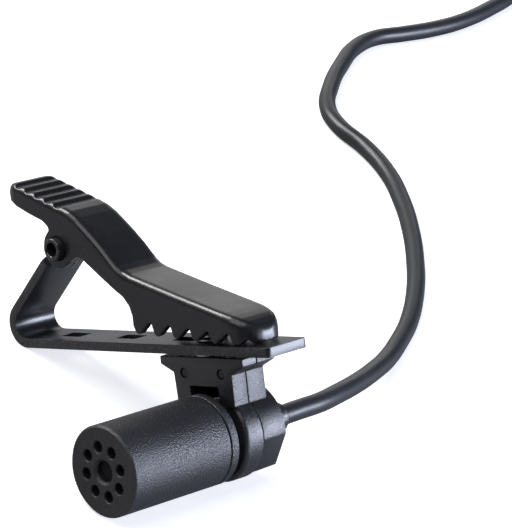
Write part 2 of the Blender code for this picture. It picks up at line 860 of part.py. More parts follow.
def make_lower_jaw():
    stations = jaw_stations()
    points = []
    for x, z, half in stations:
        points += [(x, -half, z), (x, half, z)]
    faces = [
        (2 * i, 2 * i + 1, 2 * i + 3, 2 * i + 2) for i in range(len(stations) - 1)
    ]
    sheet = mesh_object("lower_jaw", points, (), faces)
    thick = sheet.modifiers.new("sheet", "SOLIDIFY")
    thick.thickness = SHEET * MM
    thick.offset = 1.0
    thick.use_even_offset = True
    bevel_edges(sheet, 0.12)
    jaw = as_part(bake(sheet), clip_swivel, "black_painted_steel")

    for i in range(SLOT_COUNT):
        middle = FIRST_SLOT + SLOT_PITCH * i
        slot = box(
            f"jaw_slot_{i + 1}",
            (middle - SLOT_LENGTH / 2, -SLOT_WIDTH / 2, -1),
            (middle + SLOT_LENGTH / 2, SLOT_WIDTH / 2, SHEET + 1),
        )
        combine(jaw, slot, "DIFFERENCE")
    rivet_hole = cylinder_along(
        "jaw_rivet_hole", "Z", RIVET_RADIUS + SLIDE, -1, SHEET + 1, (0, 0)
    )
    combine(jaw, rivet_hole, "DIFFERENCE")

    # Each ear runs from the arm's sheet round the pivot.
    end = arm_foot() + arm_direction() * ARM_LENGTH
    start = arm_foot() + arm_direction() * (ARM_WIDE_LENGTH + 0.3)
    inward = Vector((sin(radians(ARM_ANGLE)), 0, -cos(radians(ARM_ANGLE))))
    sink = 0.1
    low = start + inward * (SHEET + 0.6)
    outer = end + inward * sink
    outline = [
        ((start + inward * sink).x, (start + inward * sink).z),
        (low.x, low.z),
        *arc(PIVOT_X, PIVOT_Z, EAR_RADIUS, 262, 470, 20),
        (outer.x, outer.z),
    ]
    for side in (-1, 1):
        outside = side * EAR_SPAN / 2
        inside = side * (EAR_SPAN / 2 - EAR_SHEET)
        ear = prism(f"jaw_ear_{side + 2}", outline, min(inside, outside), max(inside, outside))
        combine(jaw, ear, "UNION")
    bore = cylinder_along(
        "jaw_pivot_bore",
        "Y",
        PIVOT_RADIUS + SLIDE,
        -EAR_SPAN,
        EAR_SPAN,
        (PIVOT_X, PIVOT_Z),
    )
    combine(jaw, bore, "DIFFERENCE")


def make_pivot_and_rivet():
    half = PIVOT_LENGTH / 2
    edge = 0.12
    pin = turned(
        "pivot_pin",
        tube_profile(PIVOT_RADIUS, PIVOT_RADIUS - PIVOT_WALL, -half, half, edge),
    )
    pin.location = Vector((PIVOT_X, 0, PIVOT_Z)) * MM
    as_part(pin, clip_swivel, "black_painted_steel")

    head = SHEET + STACK_GAP
    step = head + RIVET_HEAD_HEIGHT
    top = step + RIVET_STEP_HEIGHT
    foot_top = -RIVET_LENGTH + RIVET_FOOT_HEIGHT
    rivet = turned(
        "swivel_rivet",
        [
            (0, top),
            (RIVET_STEP_RADIUS - 0.15, top),
            (RIVET_STEP_RADIUS, top - 0.15),
            (RIVET_STEP_RADIUS, step),
            (RIVET_HEAD_RADIUS - 0.1, step),
            (RIVET_HEAD_RADIUS, step - 0.1),
            (RIVET_HEAD_RADIUS, head),
            (RIVET_RADIUS, head),
            (RIVET_RADIUS, foot_top),
            (RIVET_FOOT_RADIUS, foot_top),
            (RIVET_FOOT_RADIUS, -RIVET_LENGTH),
            (0, -RIVET_LENGTH),
        ],
        axis_along_y=False,
        steps=FINE_SEGMENTS,
    )
    as_part(rivet, clip_swivel, "bright_steel")
    washer = turned(
        "swivel_washer",
        tube_profile(
            WASHER_RADIUS, RIVET_RADIUS + SLIDE, -BRACKET_TOP_GAP + STACK_GAP, -STACK_GAP
        ),
        axis_along_y=False,
        steps=FINE_SEGMENTS,
    )
    as_part(washer, clip_swivel, "bright_steel")


# Lever: a drawn channel with a thumb pad behind the pivot and the upper jaw ahead of it.
def lever_top():
    """(x, z, half width) of the lever's top, from the end of the pad to the nose."""
    half = LEVER_WIDTH / 2
    return [
        (PAD_START, 16.7, half - 1.1),
        (PAD_START + 0.25, 17.5, half - 0.65),
        (PAD_START + 0.75, 17.95, half - 0.25),
        (PAD_START + 1.5, 17.9, half - 0.05),
        (-21.0, 16.6, half),
        (-17.6, 15.35, half),
        (-16.4, 14.85, half),
        (-15.3, 14.15, half),
        (-14.1, 13.15, half),
        (-12.9, 12.1, half),
        (-11.7, 10.95, half),
        (-10.7, 9.85, half),
        (-10.0, 9.1, half),
        (-9.3, 8.6, half),
        (-8.4, 8.2, half),
        (-2.0, 6.35, half),
        (5.0, 4.4, half),
        (6.2, 4.0, half - 0.1),
        (7.1, 3.6, half - 0.4),
        (7.8, 3.15, half - 0.85),
        (LEVER_NOSE - 0.15, 2.75, half - 1.3),
        (LEVER_NOSE, 2.4, half - 1.6),
    ]


def channel(name, stations, edge, bottom):
    """A lofted bar: at each station a section with rounded top corners."""
    corner_steps = 4
    rings = []
    for x, top, half in stations:
        section = [(x, -half, bottom)]
        for y, z in arc(-half + edge, top - edge, edge, 180, 90, corner_steps):
            section.append((x, y, z))
        for y, z in arc(half - edge, top - edge, edge, 90, 0, corner_steps):
            section.append((x, y, z))
        section.append((x, half, bottom))
        rings.append(section)
    count = len(rings[0])
    points = [point for section in rings for point in section]
    faces = []
    for i in range(len(rings) - 1):
        for j in range(count):
            k = (j + 1) % count
            faces.append((i * count + j, i * count + k, (i + 1) * count + k, (i + 1) * count + j))
    faces.append(tuple(range(count)))
    faces.append(tuple(reversed(range(len(points) - count, len(points)))))
    made = mesh_object(name, points, (), faces)
    shape = bmesh.new()
    shape.from_mesh(made.data)
    bmesh.ops.recalc_face_normals(shape, faces=shape.faces)
    shape.to_mesh(made.data)
    shape.free()
    return made


def cavity_stations(stations):
    """The lever's inside: its top lowered by the sheet's thickness and its sides drawn in."""
    inside = []
    for before, here, after in zip(stations[2:], stations[3:], stations[4:]):
        x, top, half = here
        if x > LEVER_NOSE - LEVER_SHEET:
            break
        slope = atan2(after[1] - before[1], after[0] - before[0])
        inside.append((x, top - LEVER_SHEET / cos(slope), half - LEVER_SHEET))
    return inside


def tooth_points():
    """The biting edge under the flanges: rounded teeth between sharp valleys."""
    points = []
    run = TOOTH_PITCH * (TOOTH_COUNT - 1)
    for i in range(TOOTH_COUNT):
        middle = FIRST_TOOTH + TOOTH_PITCH * i
        tip = BITE_START + (BITE_END - BITE_START) * (middle - FIRST_TOOTH) / run
        points += [
            (middle - 0.42, tip + 0.3),
            (middle - 0.2, tip + 0.06),
            (middle + 0.1, tip),
            (middle + 0.4, tip + 0.14),
        ]
        if i < TOOTH_COUNT - 1:
            depth = TOOTH_DEPTH * (1 - 0.06 * i)
            points.append((middle + TOOTH_PITCH * 0.64, tip + depth))
            points.append((middle + TOOTH_PITCH * 0.74, tip + depth - 0.02))
    return points


def lever_lower_edge():
    """The outline of everything below the lever's flanges."""
    notch = (-19.75, 13.35)
    ear = arc(PIVOT_X, PIVOT_Z, LEVER_EAR_RADIUS, 118, 318, 16)
    nose_start = FIRST_TOOTH + TOOTH_PITCH * (TOOTH_COUNT - 1) + 0.9
    return [
        (PAD_START - 2, 17.2),
        (PAD_START, 16.45),
        (-24.3, 15.5),
        (-22.5, 14.7),
        (-20.5, 13.95),
        notch,
        *ear,
        (-15.7, 10.1),
        (-14.9, 9.85),
        (-12.8, 8.3),
        (-10.7, 6.8),
        (-9.3, 5.9),
        (-8.55, 5.0),
        (-8.25, 4.0),
        (-8.3, 3.0),
        *tooth_points(),
        (nose_start, BITE_END + 0.55),
        (nose_start + 0.5, BITE_END),
        (LEVER_NOSE + 2, BITE_END),
        (LEVER_NOSE + 2, -3),
        (PAD_START - 2, -3),
    ]


def make_lever():
    stations = lever_top()
    blank = channel("upper_jaw", stations, LEVER_EDGE, -2)
    lever = as_part(blank, jaw_hinge, "black_painted_steel")
    lever.location = Vector((-PIVOT_X, 0, -PIVOT_Z)) * MM
    reach = LEVER_WIDTH
    inner_edge = 0.3
    cuts = [
        channel("lever_cavity", cavity_stations(stations), inner_edge, -4),
        prism("lever_below", lever_lower_edge(), -reach, reach),
        cylinder_along(
            "lever_bore",
            "Y",
            PIVOT_RADIUS + SLIDE,
            -reach,
            reach,
            (PIVOT_X, PIVOT_Z),
        ),
    ]
    pad_slope = (stations[5][1] - stations[3][1]) / (stations[5][0] - stations[3][0])
    for i in range(GROOVE_COUNT):
        x = FIRST_GROOVE + GROOVE_PITCH * i
        top = stations[3][1] + (x - stations[3][0]) * pad_slope
        height = top - GROOVE_DEPTH + GROOVE_RADIUS
        cuts.append(
            cylinder_along(f"pad_groove_{i + 1}", "Y", GROOVE_RADIUS, -reach, reach, (x, height))
        )
    for cut in cuts:
        cut.location = lever.location
        combine(lever, cut, "DIFFERENCE")


def make_spring():
    radius = PIVOT_RADIUS + SLIDE + SPRING_WIRE + SLIDE
    width = SPRING_TURNS * SPRING_PITCH
    lower_heading = radians(180 + ARM_ANGLE)
    start_angle = lower_heading + pi / 2
    upper_heading = radians(52)
    end_angle = upper_heading - pi / 2 + 2 * pi * SPRING_TURNS
    turns = (end_angle - start_angle) / (2 * pi)
    count = max(1, round(turns * SPRING_POINTS_PER_TURN))
    points = []
    for i in range(count + 1):
        share = i / count
        angle = start_angle + (end_angle - start_angle) * share
        points.append(
            (
                PIVOT_X + radius * cos(angle),
                -width / 2 + width * share,
                PIVOT_Z + radius * sin(angle),
            )
        )
    first = Vector(points[0]) + Vector((cos(lower_heading), 0, sin(lower_heading))) * SPRING_LEG
    upper_leg = 2.3
    last = Vector(points[-1]) + Vector((cos(upper_heading), 0, sin(upper_heading))) * upper_leg
    spring = wire("torsion_spring", [first, *points, last], SPRING_WIRE)
    as_part(spring, clip_swivel, "spring_steel")


# Cable, its coil and its plug.
def make_cable():
    exit_point = (0, MIC_LENGTH + RELIEF_END + FACE_GAP, RING_RADIUS)
    route = smooth_points((exit_point, *ROUTE), CABLE_STEP)
    cable = wire("cable", route, CABLE_DIAMETER / 2)
    as_part(cable, stand, "cable_pvc")
    lead = wire("cable_end", smooth_points(LEAD_ROUTE, LEAD_STEP), CABLE_DIAMETER / 2)
    as_part(lead, stand, "cable_pvc")
    edge = 0.8
    coil = turned(
        "cable_coil",
        tube_profile(
            COIL_RADIUS + COIL_WIDTH / 2, COIL_RADIUS - COIL_WIDTH / 2, 0, COIL_HEIGHT, edge
        ),
        axis_along_y=False,
    )
    coil.location = Vector((COIL_X, COIL_Y, 0)) * MM
    as_part(coil, stand, "cable_pvc")

    # The tie is a flat strap round the bundle of turns, open at the surface side.
    inner_half = COIL_WIDTH / 2 + FACE_GAP
    outer_half = inner_half + TIE_WALL
    inner_top = COIL_HEIGHT + FACE_GAP
    outline = [
        (-outer_half, 0.05),
        (-outer_half, inner_top),
        (-outer_half + TIE_WALL, inner_top + TIE_WALL),
        (outer_half - TIE_WALL, inner_top + TIE_WALL),
        (outer_half, inner_top),
        (outer_half, 0.05),
        (inner_half, 0.05),
        (inner_half, inner_top),
        (-inner_half, inner_top),
        (-inner_half, 0.05),
    ]
    tie = prism("cable_tie", outline, -TIE_WIDTH / 2, TIE_WIDTH / 2)
    turn = radians(TIE_ANGLE)
    tie.location = (
        Vector((COIL_X + COIL_RADIUS * cos(turn), COIL_Y + COIL_RADIUS * sin(turn), 0)) * MM
    )
    tie.rotation_euler = (0, 0, turn)
    as_part(tie, stand, "black_plastic")


def make_plug():
    """The plug lies on its barrel. Stations run from the cable end of the boot."""
    plug = empty(
        "plug_axis",
        stand,
        (PLUG_START_X, PLUG_START_Y, PLUG_AXIS_HEIGHT),
        (0, 0, radians(PLUG_HEADING) - pi / 2),
    )
    boot_end = BOOT_LENGTH
    boot = turned(
        "plug_boot",
        [
            (0, boot_end),
            (BOOT_THICK_RADIUS, boot_end),
            (BOOT_THICK_RADIUS, boot_end - 1.5),
            (BOOT_THIN_RADIUS, 0.3),
            (BOOT_THIN_RADIUS - 0.3, 0),
            (0, 0),
        ],
    )
    as_part(boot, plug, "black_plastic")
    barrel_start = boot_end + STACK_GAP
    barrel_end = barrel_start + BARREL_LENGTH
    edge = 0.5
    barrel = turned(
        "plug_barrel",
        [
            (0, barrel_end),
            (BARREL_RADIUS - edge, barrel_end),
            (BARREL_RADIUS, barrel_end - edge),
            (BARREL_RADIUS, barrel_start + edge),
            (BARREL_RADIUS - edge, barrel_start),
            (0, barrel_start),
        ],
    )
    as_part(barrel, plug, "black_anodised_aluminium")
    station = barrel_end + STACK_GAP
    for name, length, radius, finish in (
        ("plug_sleeve", SLEEVE_LENGTH, CONTACT_RADIUS, "nickel"),
        ("plug_rear_insulator", INSULATOR_LENGTH, CONTACT_RADIUS - 0.05, "plug_insulator"),
        ("plug_ring_contact", CONTACT_RING_LENGTH, CONTACT_RADIUS, "nickel"),
        ("plug_front_insulator", INSULATOR_LENGTH, CONTACT_RADIUS - 0.05, "plug_insulator"),
    ):
        collar = turned(
            name,
            tube_profile(radius, STEM_RADIUS + SLIDE, station, station + length),
            steps=FINE_SEGMENTS,
        )
        as_part(collar, plug, finish)
        station += length + STACK_GAP
    tip_end = station + TIP_LENGTH
    tip = turned(
        "plug_tip",
        [
            (0, tip_end),
            (0.5, tip_end - 0.15),
            (CONTACT_RADIUS, tip_end - 1.5),
            (CONTACT_RADIUS, tip_end - 1.9),
            (CONTACT_RADIUS - 0.5, tip_end - 2.7),
            (CONTACT_RADIUS, station),
            (STEM_RADIUS, station),
            (STEM_RADIUS, barrel_end + STACK_GAP),
            (0, barrel_end + STACK_GAP),
        ],
        steps=FINE_SEGMENTS,
    )
    as_part(tip, plug, "nickel")


CORD_PIECES = (
    "cable",
    "cable_end",
    "cable_coil",
    "cable_tie",
    "plug_boot",
    "plug_barrel",
    "plug_sleeve",
    "plug_rear_insulator",
    "plug_ring_contact",
    "plug_front_insulator",
    "plug_tip",
)


def stand_on_origin():
    """Moves the stand so that the origin is under the middle of all but the cable's pieces."""
    bpy.context.view_layer.update()
    graph = bpy.context.evaluated_depsgraph_get()
    corners = []
    for part in PARTS.objects:
        if part.type == "EMPTY" or part.name in CORD_PIECES:
            continue
        shape = part.evaluated_get(graph)
        corners += [shape.matrix_world @ vertex.co for vertex in shape.to_mesh().vertices]
        shape.to_mesh_clear()
    low = Vector([min(corner[i] for corner in corners) for i in range(3)])
    high = Vector([max(corner[i] for corner in corners) for i in range(3)])
    stand.location = (-(low.x + high.x) / 2, -(low.y + high.y) / 2, -low.z)
    bpy.context.view_layer.update()


def main():
    make_housing()
    make_mic_insides()
    make_rear_cap()
    make_strain_relief()
    make_holder()
    make_lower_jaw()
    make_pivot_and_rivet()
    make_lever()
    make_spring()
    make_cable()
    make_plug()
    stand_on_origin()
    print("clip pitch", round(degrees(PITCH), 3), "degrees")
    print("stand", [round(value / MM, 3) for value in stand.location])


main()
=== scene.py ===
"""Looks of a lavalier microphone on its spring tie clip, with its cable coiled and tied.

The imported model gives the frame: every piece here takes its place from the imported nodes
and joints. Pieces are modelled in millimetres in the frame of their own sub-assembly, then
put in place and scaled to metres:

* the capsule's frame has Z along the microphone's axis, from the front face backwards;
* the clip's frame has X along the lower jaw to its tip and Z out of the jaw's top, from the
  swivel's axis at the jaw's underside;
* the stand's frame has its origin on the surface, under the microphone's front face.
"""

import json
import logging
import math
from collections.abc import Callable, Iterator, Sequence
from contextlib import contextmanager
from dataclasses import dataclass
from enum import Enum

import bmesh
import bpy
from mathutils import Matrix, Vector


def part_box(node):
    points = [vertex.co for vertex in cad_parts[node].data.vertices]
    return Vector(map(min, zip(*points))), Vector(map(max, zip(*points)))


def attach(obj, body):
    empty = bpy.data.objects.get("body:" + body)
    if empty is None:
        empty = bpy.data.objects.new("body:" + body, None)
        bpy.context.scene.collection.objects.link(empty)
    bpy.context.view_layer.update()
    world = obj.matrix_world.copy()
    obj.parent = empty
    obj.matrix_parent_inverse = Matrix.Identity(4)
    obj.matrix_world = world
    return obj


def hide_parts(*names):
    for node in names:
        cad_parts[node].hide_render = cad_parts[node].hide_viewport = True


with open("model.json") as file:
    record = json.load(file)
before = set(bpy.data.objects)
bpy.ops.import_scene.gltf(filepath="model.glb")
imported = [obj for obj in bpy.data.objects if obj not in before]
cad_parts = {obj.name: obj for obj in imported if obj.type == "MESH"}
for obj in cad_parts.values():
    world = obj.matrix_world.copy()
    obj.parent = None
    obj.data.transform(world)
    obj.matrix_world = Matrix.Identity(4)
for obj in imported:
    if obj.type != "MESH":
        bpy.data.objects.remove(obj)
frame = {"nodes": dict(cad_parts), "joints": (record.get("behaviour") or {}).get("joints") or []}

MM = 0.001
TAU = 2 * math.pi
MERGE_DISTANCE = 1e-4
TOO_SHORT = 1e-6
NEARLY_STRAIGHT = 165
MOST_OF_EDGE = 0.45

Point2 = tuple[float, float]
Point3 = tuple[float, float, float]
Colour = tuple[float, float, float]

log = logging.getLogger("lavalier")


class Body(Enum):
    """The rigid bodies that pieces ride on."""

    MICROPHONE = "microphone"
    CLIP = "clip"
    LEVER = "lever"


# ---------------------------------------------------------------------------------------
# Bench: modelling steps that every piece uses. Lengths are millimetres until settle().
# ---------------------------------------------------------------------------------------


def put_down() -> None:
    """Leaves edit mode and deselects every object."""
    active = bpy.context.object
    if active is not None and active.mode != "OBJECT":
        bpy.ops.object.mode_set(mode="OBJECT")
    bpy.ops.object.select_all(action="DESELECT")


def pick_up(piece: bpy.types.Object) -> None:
    """Makes the piece the only selected object, and the active one.

    Args:
        piece: The object.
    """
    put_down()
    piece.select_set(True)
    bpy.context.view_layer.objects.active = piece


@contextmanager
def editing(piece: bpy.types.Object, mode: str = "FACE") -> Iterator[bmesh.types.BMesh]:
    """Edit mode on one piece, with nothing selected.

    Args:
        piece: The mesh object to edit.
        mode: VERT, EDGE or FACE, what a selection in code is made of.

    Returns:
        The edit mesh, whose elements the caller selects before it calls an operator.
    """
    pick_up(piece)
    bpy.ops.object.mode_set(mode="EDIT")
    bpy.ops.mesh.select_mode(type=mode)
    bpy.ops.mesh.select_all(action="DESELECT")
    yield bmesh.from_edit_mesh(piece.data)
    bpy.ops.object.mode_set(mode="OBJECT")


def select_faces(
    piece: bpy.types.Object, shape: bmesh.types.BMesh, wanted: Callable[[bmesh.types.BMFace], bool]
) -> int:
    """Selects the faces that a test picks.

    Args:
        piece: The object in edit mode.
        shape: Its edit mesh.
        wanted: The test.

    Returns:
        How many faces are selected.
    """
    count = 0
    for face in shape.faces:
        chosen = wanted(face)
        face.select_set(chosen)
        count += chosen
    bmesh.update_edit_mesh(piece.data)
    return count


def softened(
    outline: Sequence[Point2], radius: float, steps: int = 4, closed: bool = True
) -> list[Point2]:
    """Rounds the corners of an outline.

    Args:
        outline: Its corners in order.
        radius: The fillet's radius, made smaller where an edge is too short for it.
        steps: Segments in each fillet.
        closed: Whether the last corner joins the first.

    Returns:
        The new outline.
    """
    made: list[Point2] = []
    count = len(outline)
    for i, corner in enumerate(outline):
        if not closed and i in (0, count - 1):
            made.append(corner)
            continue
        here = Vector(corner)
        before = Vector(outline[i - 1]) - here
        after = Vector(outline[(i + 1) % count]) - here
        if min(before.length, after.length) < TOO_SHORT:
            made.append(corner)
            continue
        opening = before.angle(after)
        if opening > math.radians(NEARLY_STRAIGHT):
            made.append(corner)
            continue
        room = (MOST_OF_EDGE * before.length, MOST_OF_EDGE * after.length)
        reach = min(radius / math.tan(opening / 2), *room)
        start, end = here + before.normalized() * reach, here + after.normalized() * reach
        for k in range(steps + 1):
            t = k / steps
            point = start * (1 - t) ** 2 + here * 2 * t * (1 - t) + end * t**2
            made.append((point.x, point.y))
    return made


def arc(centre: Point2, radius: float, start: float, end: float, count: int) -> list[Point2]:
    """Points on an arc.

    Args:
        centre: Its centre.
        radius: Its radius.
        start: The first point's angle in degrees.
        end: The last point's angle in degrees.
        count: Segments.

    Returns:
        count + 1 points.
    """
    angles = [math.radians(start + (end - start) * i / count) for i in range(count + 1)]
    return [(centre[0] + radius * math.cos(a), centre[1] + radius * math.sin(a)) for a in angles]


def chain(name: str, points: Sequence[Point3], closed: bool) -> bpy.types.Object:
    """Draws a run of edges by extruding one vertex from point to point.

    Args:
        name: The piece's name.
        points: The points in order.
        closed: Whether the run ends where it starts.

    Returns:
        The piece, left in edit mode with everything selected.
    """
    put_down()
    bpy.ops.mesh.primitive_plane_add(size=1.0)
    piece = bpy.context.object
    piece.name = name
    bpy.ops.object.mode_set(mode="EDIT")
    bpy.ops.mesh.select_mode(type="VERT")
    bpy.ops.mesh.select_all(action="SELECT")
    bpy.ops.mesh.merge(type="CENTER")
    bpy.ops.transform.translate(value=points[0])
    run = [*points, points[0]] if closed else list(points)
    for before, here in zip(run, run[1:]):
        step = Vector(here) - Vector(before)
        bpy.ops.mesh.extrude_vertices_move(TRANSFORM_OT_translate={"value": step})
    bpy.ops.mesh.select_all(action="SELECT")
    bpy.ops.mesh.remove_doubles(threshold=MERGE_DISTANCE)
    return piece


def turn_out() -> None:
    """Turns every face of the mesh in edit mode outwards, and leaves edit mode."""
    bpy.ops.mesh.select_all(action="SELECT")
    bpy.ops.mesh.normals_make_consistent(inside=False)
    bpy.ops.object.mode_set(mode="OBJECT")


def turned(
    name: str, outline: Sequence[Point2], steps: int = 128, closed: bool = False
) -> bpy.types.Object:
    """Spins an outline once round the Z axis.

    Args:
        name: The piece's name.
        outline: (radius, station) pairs; an open outline starts and ends on the axis.
        steps: Segments round the axis.
        closed: Whether the outline is a ring's section.

    Returns:
        The turned piece.
    """
    piece = chain(name, [(radius, 0.0, station) for radius, station in outline], closed)
    bpy.ops.mesh.spin(steps=steps, angle=TAU, center=(0, 0, 0), axis=(0, 0, 1))
    bpy.ops.mesh.select_all(action="SELECT")
    bpy.ops.mesh.remove_doubles(threshold=MERGE_DISTANCE)
    bpy.ops.mesh.normals_make_consistent(inside=False)
    bpy.ops.object.mode_set(mode="OBJECT")
    return piece


def slab(name: str, outline: Sequence[Point2], low: float, high: float) -> bpy.types.Object:
    """Extrudes a flat outline along Y.

    Args:
        name: The piece's name.
        outline: (x, z) pairs in order.
        low: Where the slab starts along Y.
        high: Where it ends.

    Returns:
        The slab.
    """
    piece = chain(name, [(x, low, z) for x, z in outline], True)
    bpy.ops.mesh.edge_face_add()
    bpy.ops.mesh.extrude_region_move(TRANSFORM_OT_translate={"value": (0, high - low, 0)})
    turn_out()
    return piece


def drawn(
    name: str, section: Sequence[Point2], stations: Sequence[tuple[float, float, float]]
) -> bpy.types.Object:
    """Draws a bar along X: one section, extruded from station to station and narrowed.

    Args:
        name: The piece's name.
        section: (y, z) pairs for a half width of 1, with z counted from the bar's top.
        stations: (x, top, half width) of each section.

    Returns:
        The bar.
    """
    x, top, half = stations[0]
    piece = chain(name, [(x, y * half, top + z) for y, z in section], True)
    bpy.ops.mesh.edge_face_add()
    for (x0, top0, half0), (x1, top1, half1) in zip(stations, stations[1:]):
        bpy.ops.mesh.extrude_region_move(
            TRANSFORM_OT_translate={"value": (x1 - x0, 0, top1 - top0)}
        )
        if abs(half1 - half0) > TOO_SHORT:
            bpy.ops.transform.resize(value=(1, half1 / half0, 1), center_override=(x1, 0, top1))
    turn_out()
    return piece


def rod(
    name: str, axis: str, radius: float, low: float, high: float, centre: Point2, sides: int = 96
) -> bpy.types.Object:
    """A plain cylinder, for cutting with.

    Args:
        name: The piece's name.
        axis: "Y" or "Z", the axis that it lies along.
        radius: Its radius.
        low: Where it starts.
        high: Where it ends.
        centre: The other two coordinates of its axis, in order.
        sides: Segments round it.

    Returns:
        The cylinder.
    """
    put_down()
    middle = (low + high) / 2
    place = (centre[0], middle, centre[1]) if axis == "Y" else (centre[0], centre[1], middle)
    turn = (math.pi / 2, 0, 0) if axis == "Y" else (0, 0, 0)
    bpy.ops.mesh.primitive_cylinder_add(
        vertices=sides, radius=radius, depth=high - low, location=place, rotation=turn
    )
    piece = bpy.context.object
    piece.name = name
    bpy.ops.object.transform_apply(location=True, rotation=True, scale=True)
    return piece


def block(name: str, low: Point3, high: Point3) -> bpy.types.Object:
    """A box between two corners.

    Args:
        name: The box's name.
        low: Its lowest corner.
        high: Its highest corner.

    Returns:
        The box.
    """
    put_down()
    middle = (Vector(low) + Vector(high)) / 2
    bpy.ops.mesh.primitive_cube_add(size=1.0, location=middle, scale=Vector(high) - Vector(low))
    piece = bpy.context.object
    piece.name = name
    bpy.ops.object.transform_apply(location=True, rotation=True, scale=True)
    return piece


def finished(piece: bpy.types.Object, kind: str, **settings: object) -> bpy.types.Object:
    """Adds one modifier to the piece and applies it.

    Args:
        piece: The mesh object.
        kind: The modifier's type.
        settings: Its properties.

    Returns:
        The piece.
    """
    pick_up(piece)
    step = piece.modifiers.new(kind.lower(), kind)
    for key, value in settings.items():
        setattr(step, key, value)
    bpy.ops.object.modifier_apply(modifier=step.name)
    return piece


def join_by(
    piece: bpy.types.Object,
    tool: bpy.types.Object,
    operation: str = "DIFFERENCE",
    solver: str = "EXACT",
) -> bpy.types.Object:
    """Applies a Boolean with the tool, and throws the tool away.

    Args:
        piece: The piece that is kept.
        tool: The solid that cuts or joins it.
        operation: The Boolean's operation.
        solver: Its solver.

    Returns:
        The piece.
    """
    finished(piece, "BOOLEAN", object=tool, operation=operation, solver=solver)
    spent = tool.data
    bpy.data.objects.remove(tool)
    bpy.data.meshes.remove(spent)
    return piece


def bevelled(
    piece: bpy.types.Object, width: float, segments: int = 3, angle: float = 40
) -> bpy.types.Object:
    """Rounds the edges that are sharper than an angle in degrees."""
    return finished(
        piece,
        "BEVEL",
        width=width,
        segments=segments,
        limit_method="ANGLE",
        angle_limit=math.radians(angle),
        use_clamp_overlap=True,
    )


def relaxed(piece: bpy.types.Object, voxel: float, rounds: int) -> bpy.types.Object:
    """Remeshes the piece evenly and relaxes it, so that all its edges turn soft."""
    finished(piece, "REMESH", mode="VOXEL", voxel_size=voxel, adaptivity=0.0)
    return finished(piece, "SMOOTH", factor=0.5, iterations=rounds)


def wire(name: str, points: Sequence[Point3], radius: float, sides: int = 8) -> bpy.types.Object:
    """A round wire through points, with closed ends, as a mesh.

    Args:
        name: The wire's name.
        points: Points on its axis.
        radius: Its radius.
        sides: Sides of its section, about.

    Returns:
        The wire.
    """
    data = bpy.data.curves.new(name, "CURVE")
    data.dimensions = "3D"
    data.bevel_depth = radius
    data.bevel_resolution = sides // 2
    data.use_fill_caps = True
    line = data.splines.new("POLY")
    line.points.add(len(points) - 1)
    for target, point in zip(line.points, points):
        target.co = (*point, 1.0)
    piece = bpy.data.objects.new(name, data)
    bpy.context.scene.collection.objects.link(piece)
    pick_up(piece)
    bpy.ops.object.convert(target="MESH")
    with editing(piece, "VERT"):
        bpy.ops.mesh.select_all(action="SELECT")
        bpy.ops.mesh.remove_doubles(threshold=MERGE_DISTANCE)
        bpy.ops.mesh.normals_make_consistent(inside=False)
    return piece


def smooth_line(knots: Sequence[Point3], samples: int) -> list[Vector]:
    """Points on the smooth curve through some knots.

    Args:
        knots: The points that it passes through.
        samples: Points between two knots.

    Returns:
        The points, from the first knot to the last.
    """
    run = [Vector(knot) for knot in knots]
    run = [2 * run[0] - run[1], *run, 2 * run[-1] - run[-2]]
    made = []
    for before, start, end, after in zip(run, run[1:], run[2:], run[3:]):
        for i in range(samples):
            t = i / samples
            slope = (end - before) * t
            bend = (2 * before - 5 * start + 4 * end - after) * t**2
            twist = (3 * start - before - 3 * end + after) * t**3
            made.append(0.5 * (2 * start + slope + bend + twist))
    made.append(run[-2])
    return made


def settle(piece: bpy.types.Object, place: Matrix, smooth: float = 30) -> bpy.types.Object:
    """Puts a piece modelled in millimetres in its place, in metres, and shades it.

    Args:
        piece: The finished piece.
        place: Its sub-assembly's frame.
        smooth: Edges sharper than this angle in degrees stay sharp.

    Returns:
        The piece, its object at the origin and its place in its mesh.
    """
    pick_up(piece)
    piece.matrix_world = place @ Matrix.Scale(MM, 4)
    bpy.ops.object.transform_apply(location=True, rotation=True, scale=True)
    bpy.ops.object.shade_smooth_by_angle(angle=math.radians(smooth))
    return piece


def dress(
    piece: bpy.types.Object,
    finish: bpy.types.Material,
    body: Body,
    replaces: Sequence[str] = (),
) -> bpy.types.Object:
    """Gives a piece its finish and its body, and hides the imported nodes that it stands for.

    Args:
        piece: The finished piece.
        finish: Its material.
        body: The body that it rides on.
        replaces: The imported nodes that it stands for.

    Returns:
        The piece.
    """
    piece.data.materials.clear()
    piece.data.materials.append(finish)
    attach(piece, body.value)
    if replaces:
        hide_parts(*replaces)
    log.info("%s: %d faces on %s", piece.name, len(getattr(piece.data, "polygons", ())), body.value)
    return piece


# ---------------------------------------------------------------------------------------
# Node groups: effects that several finishes share.
# ---------------------------------------------------------------------------------------


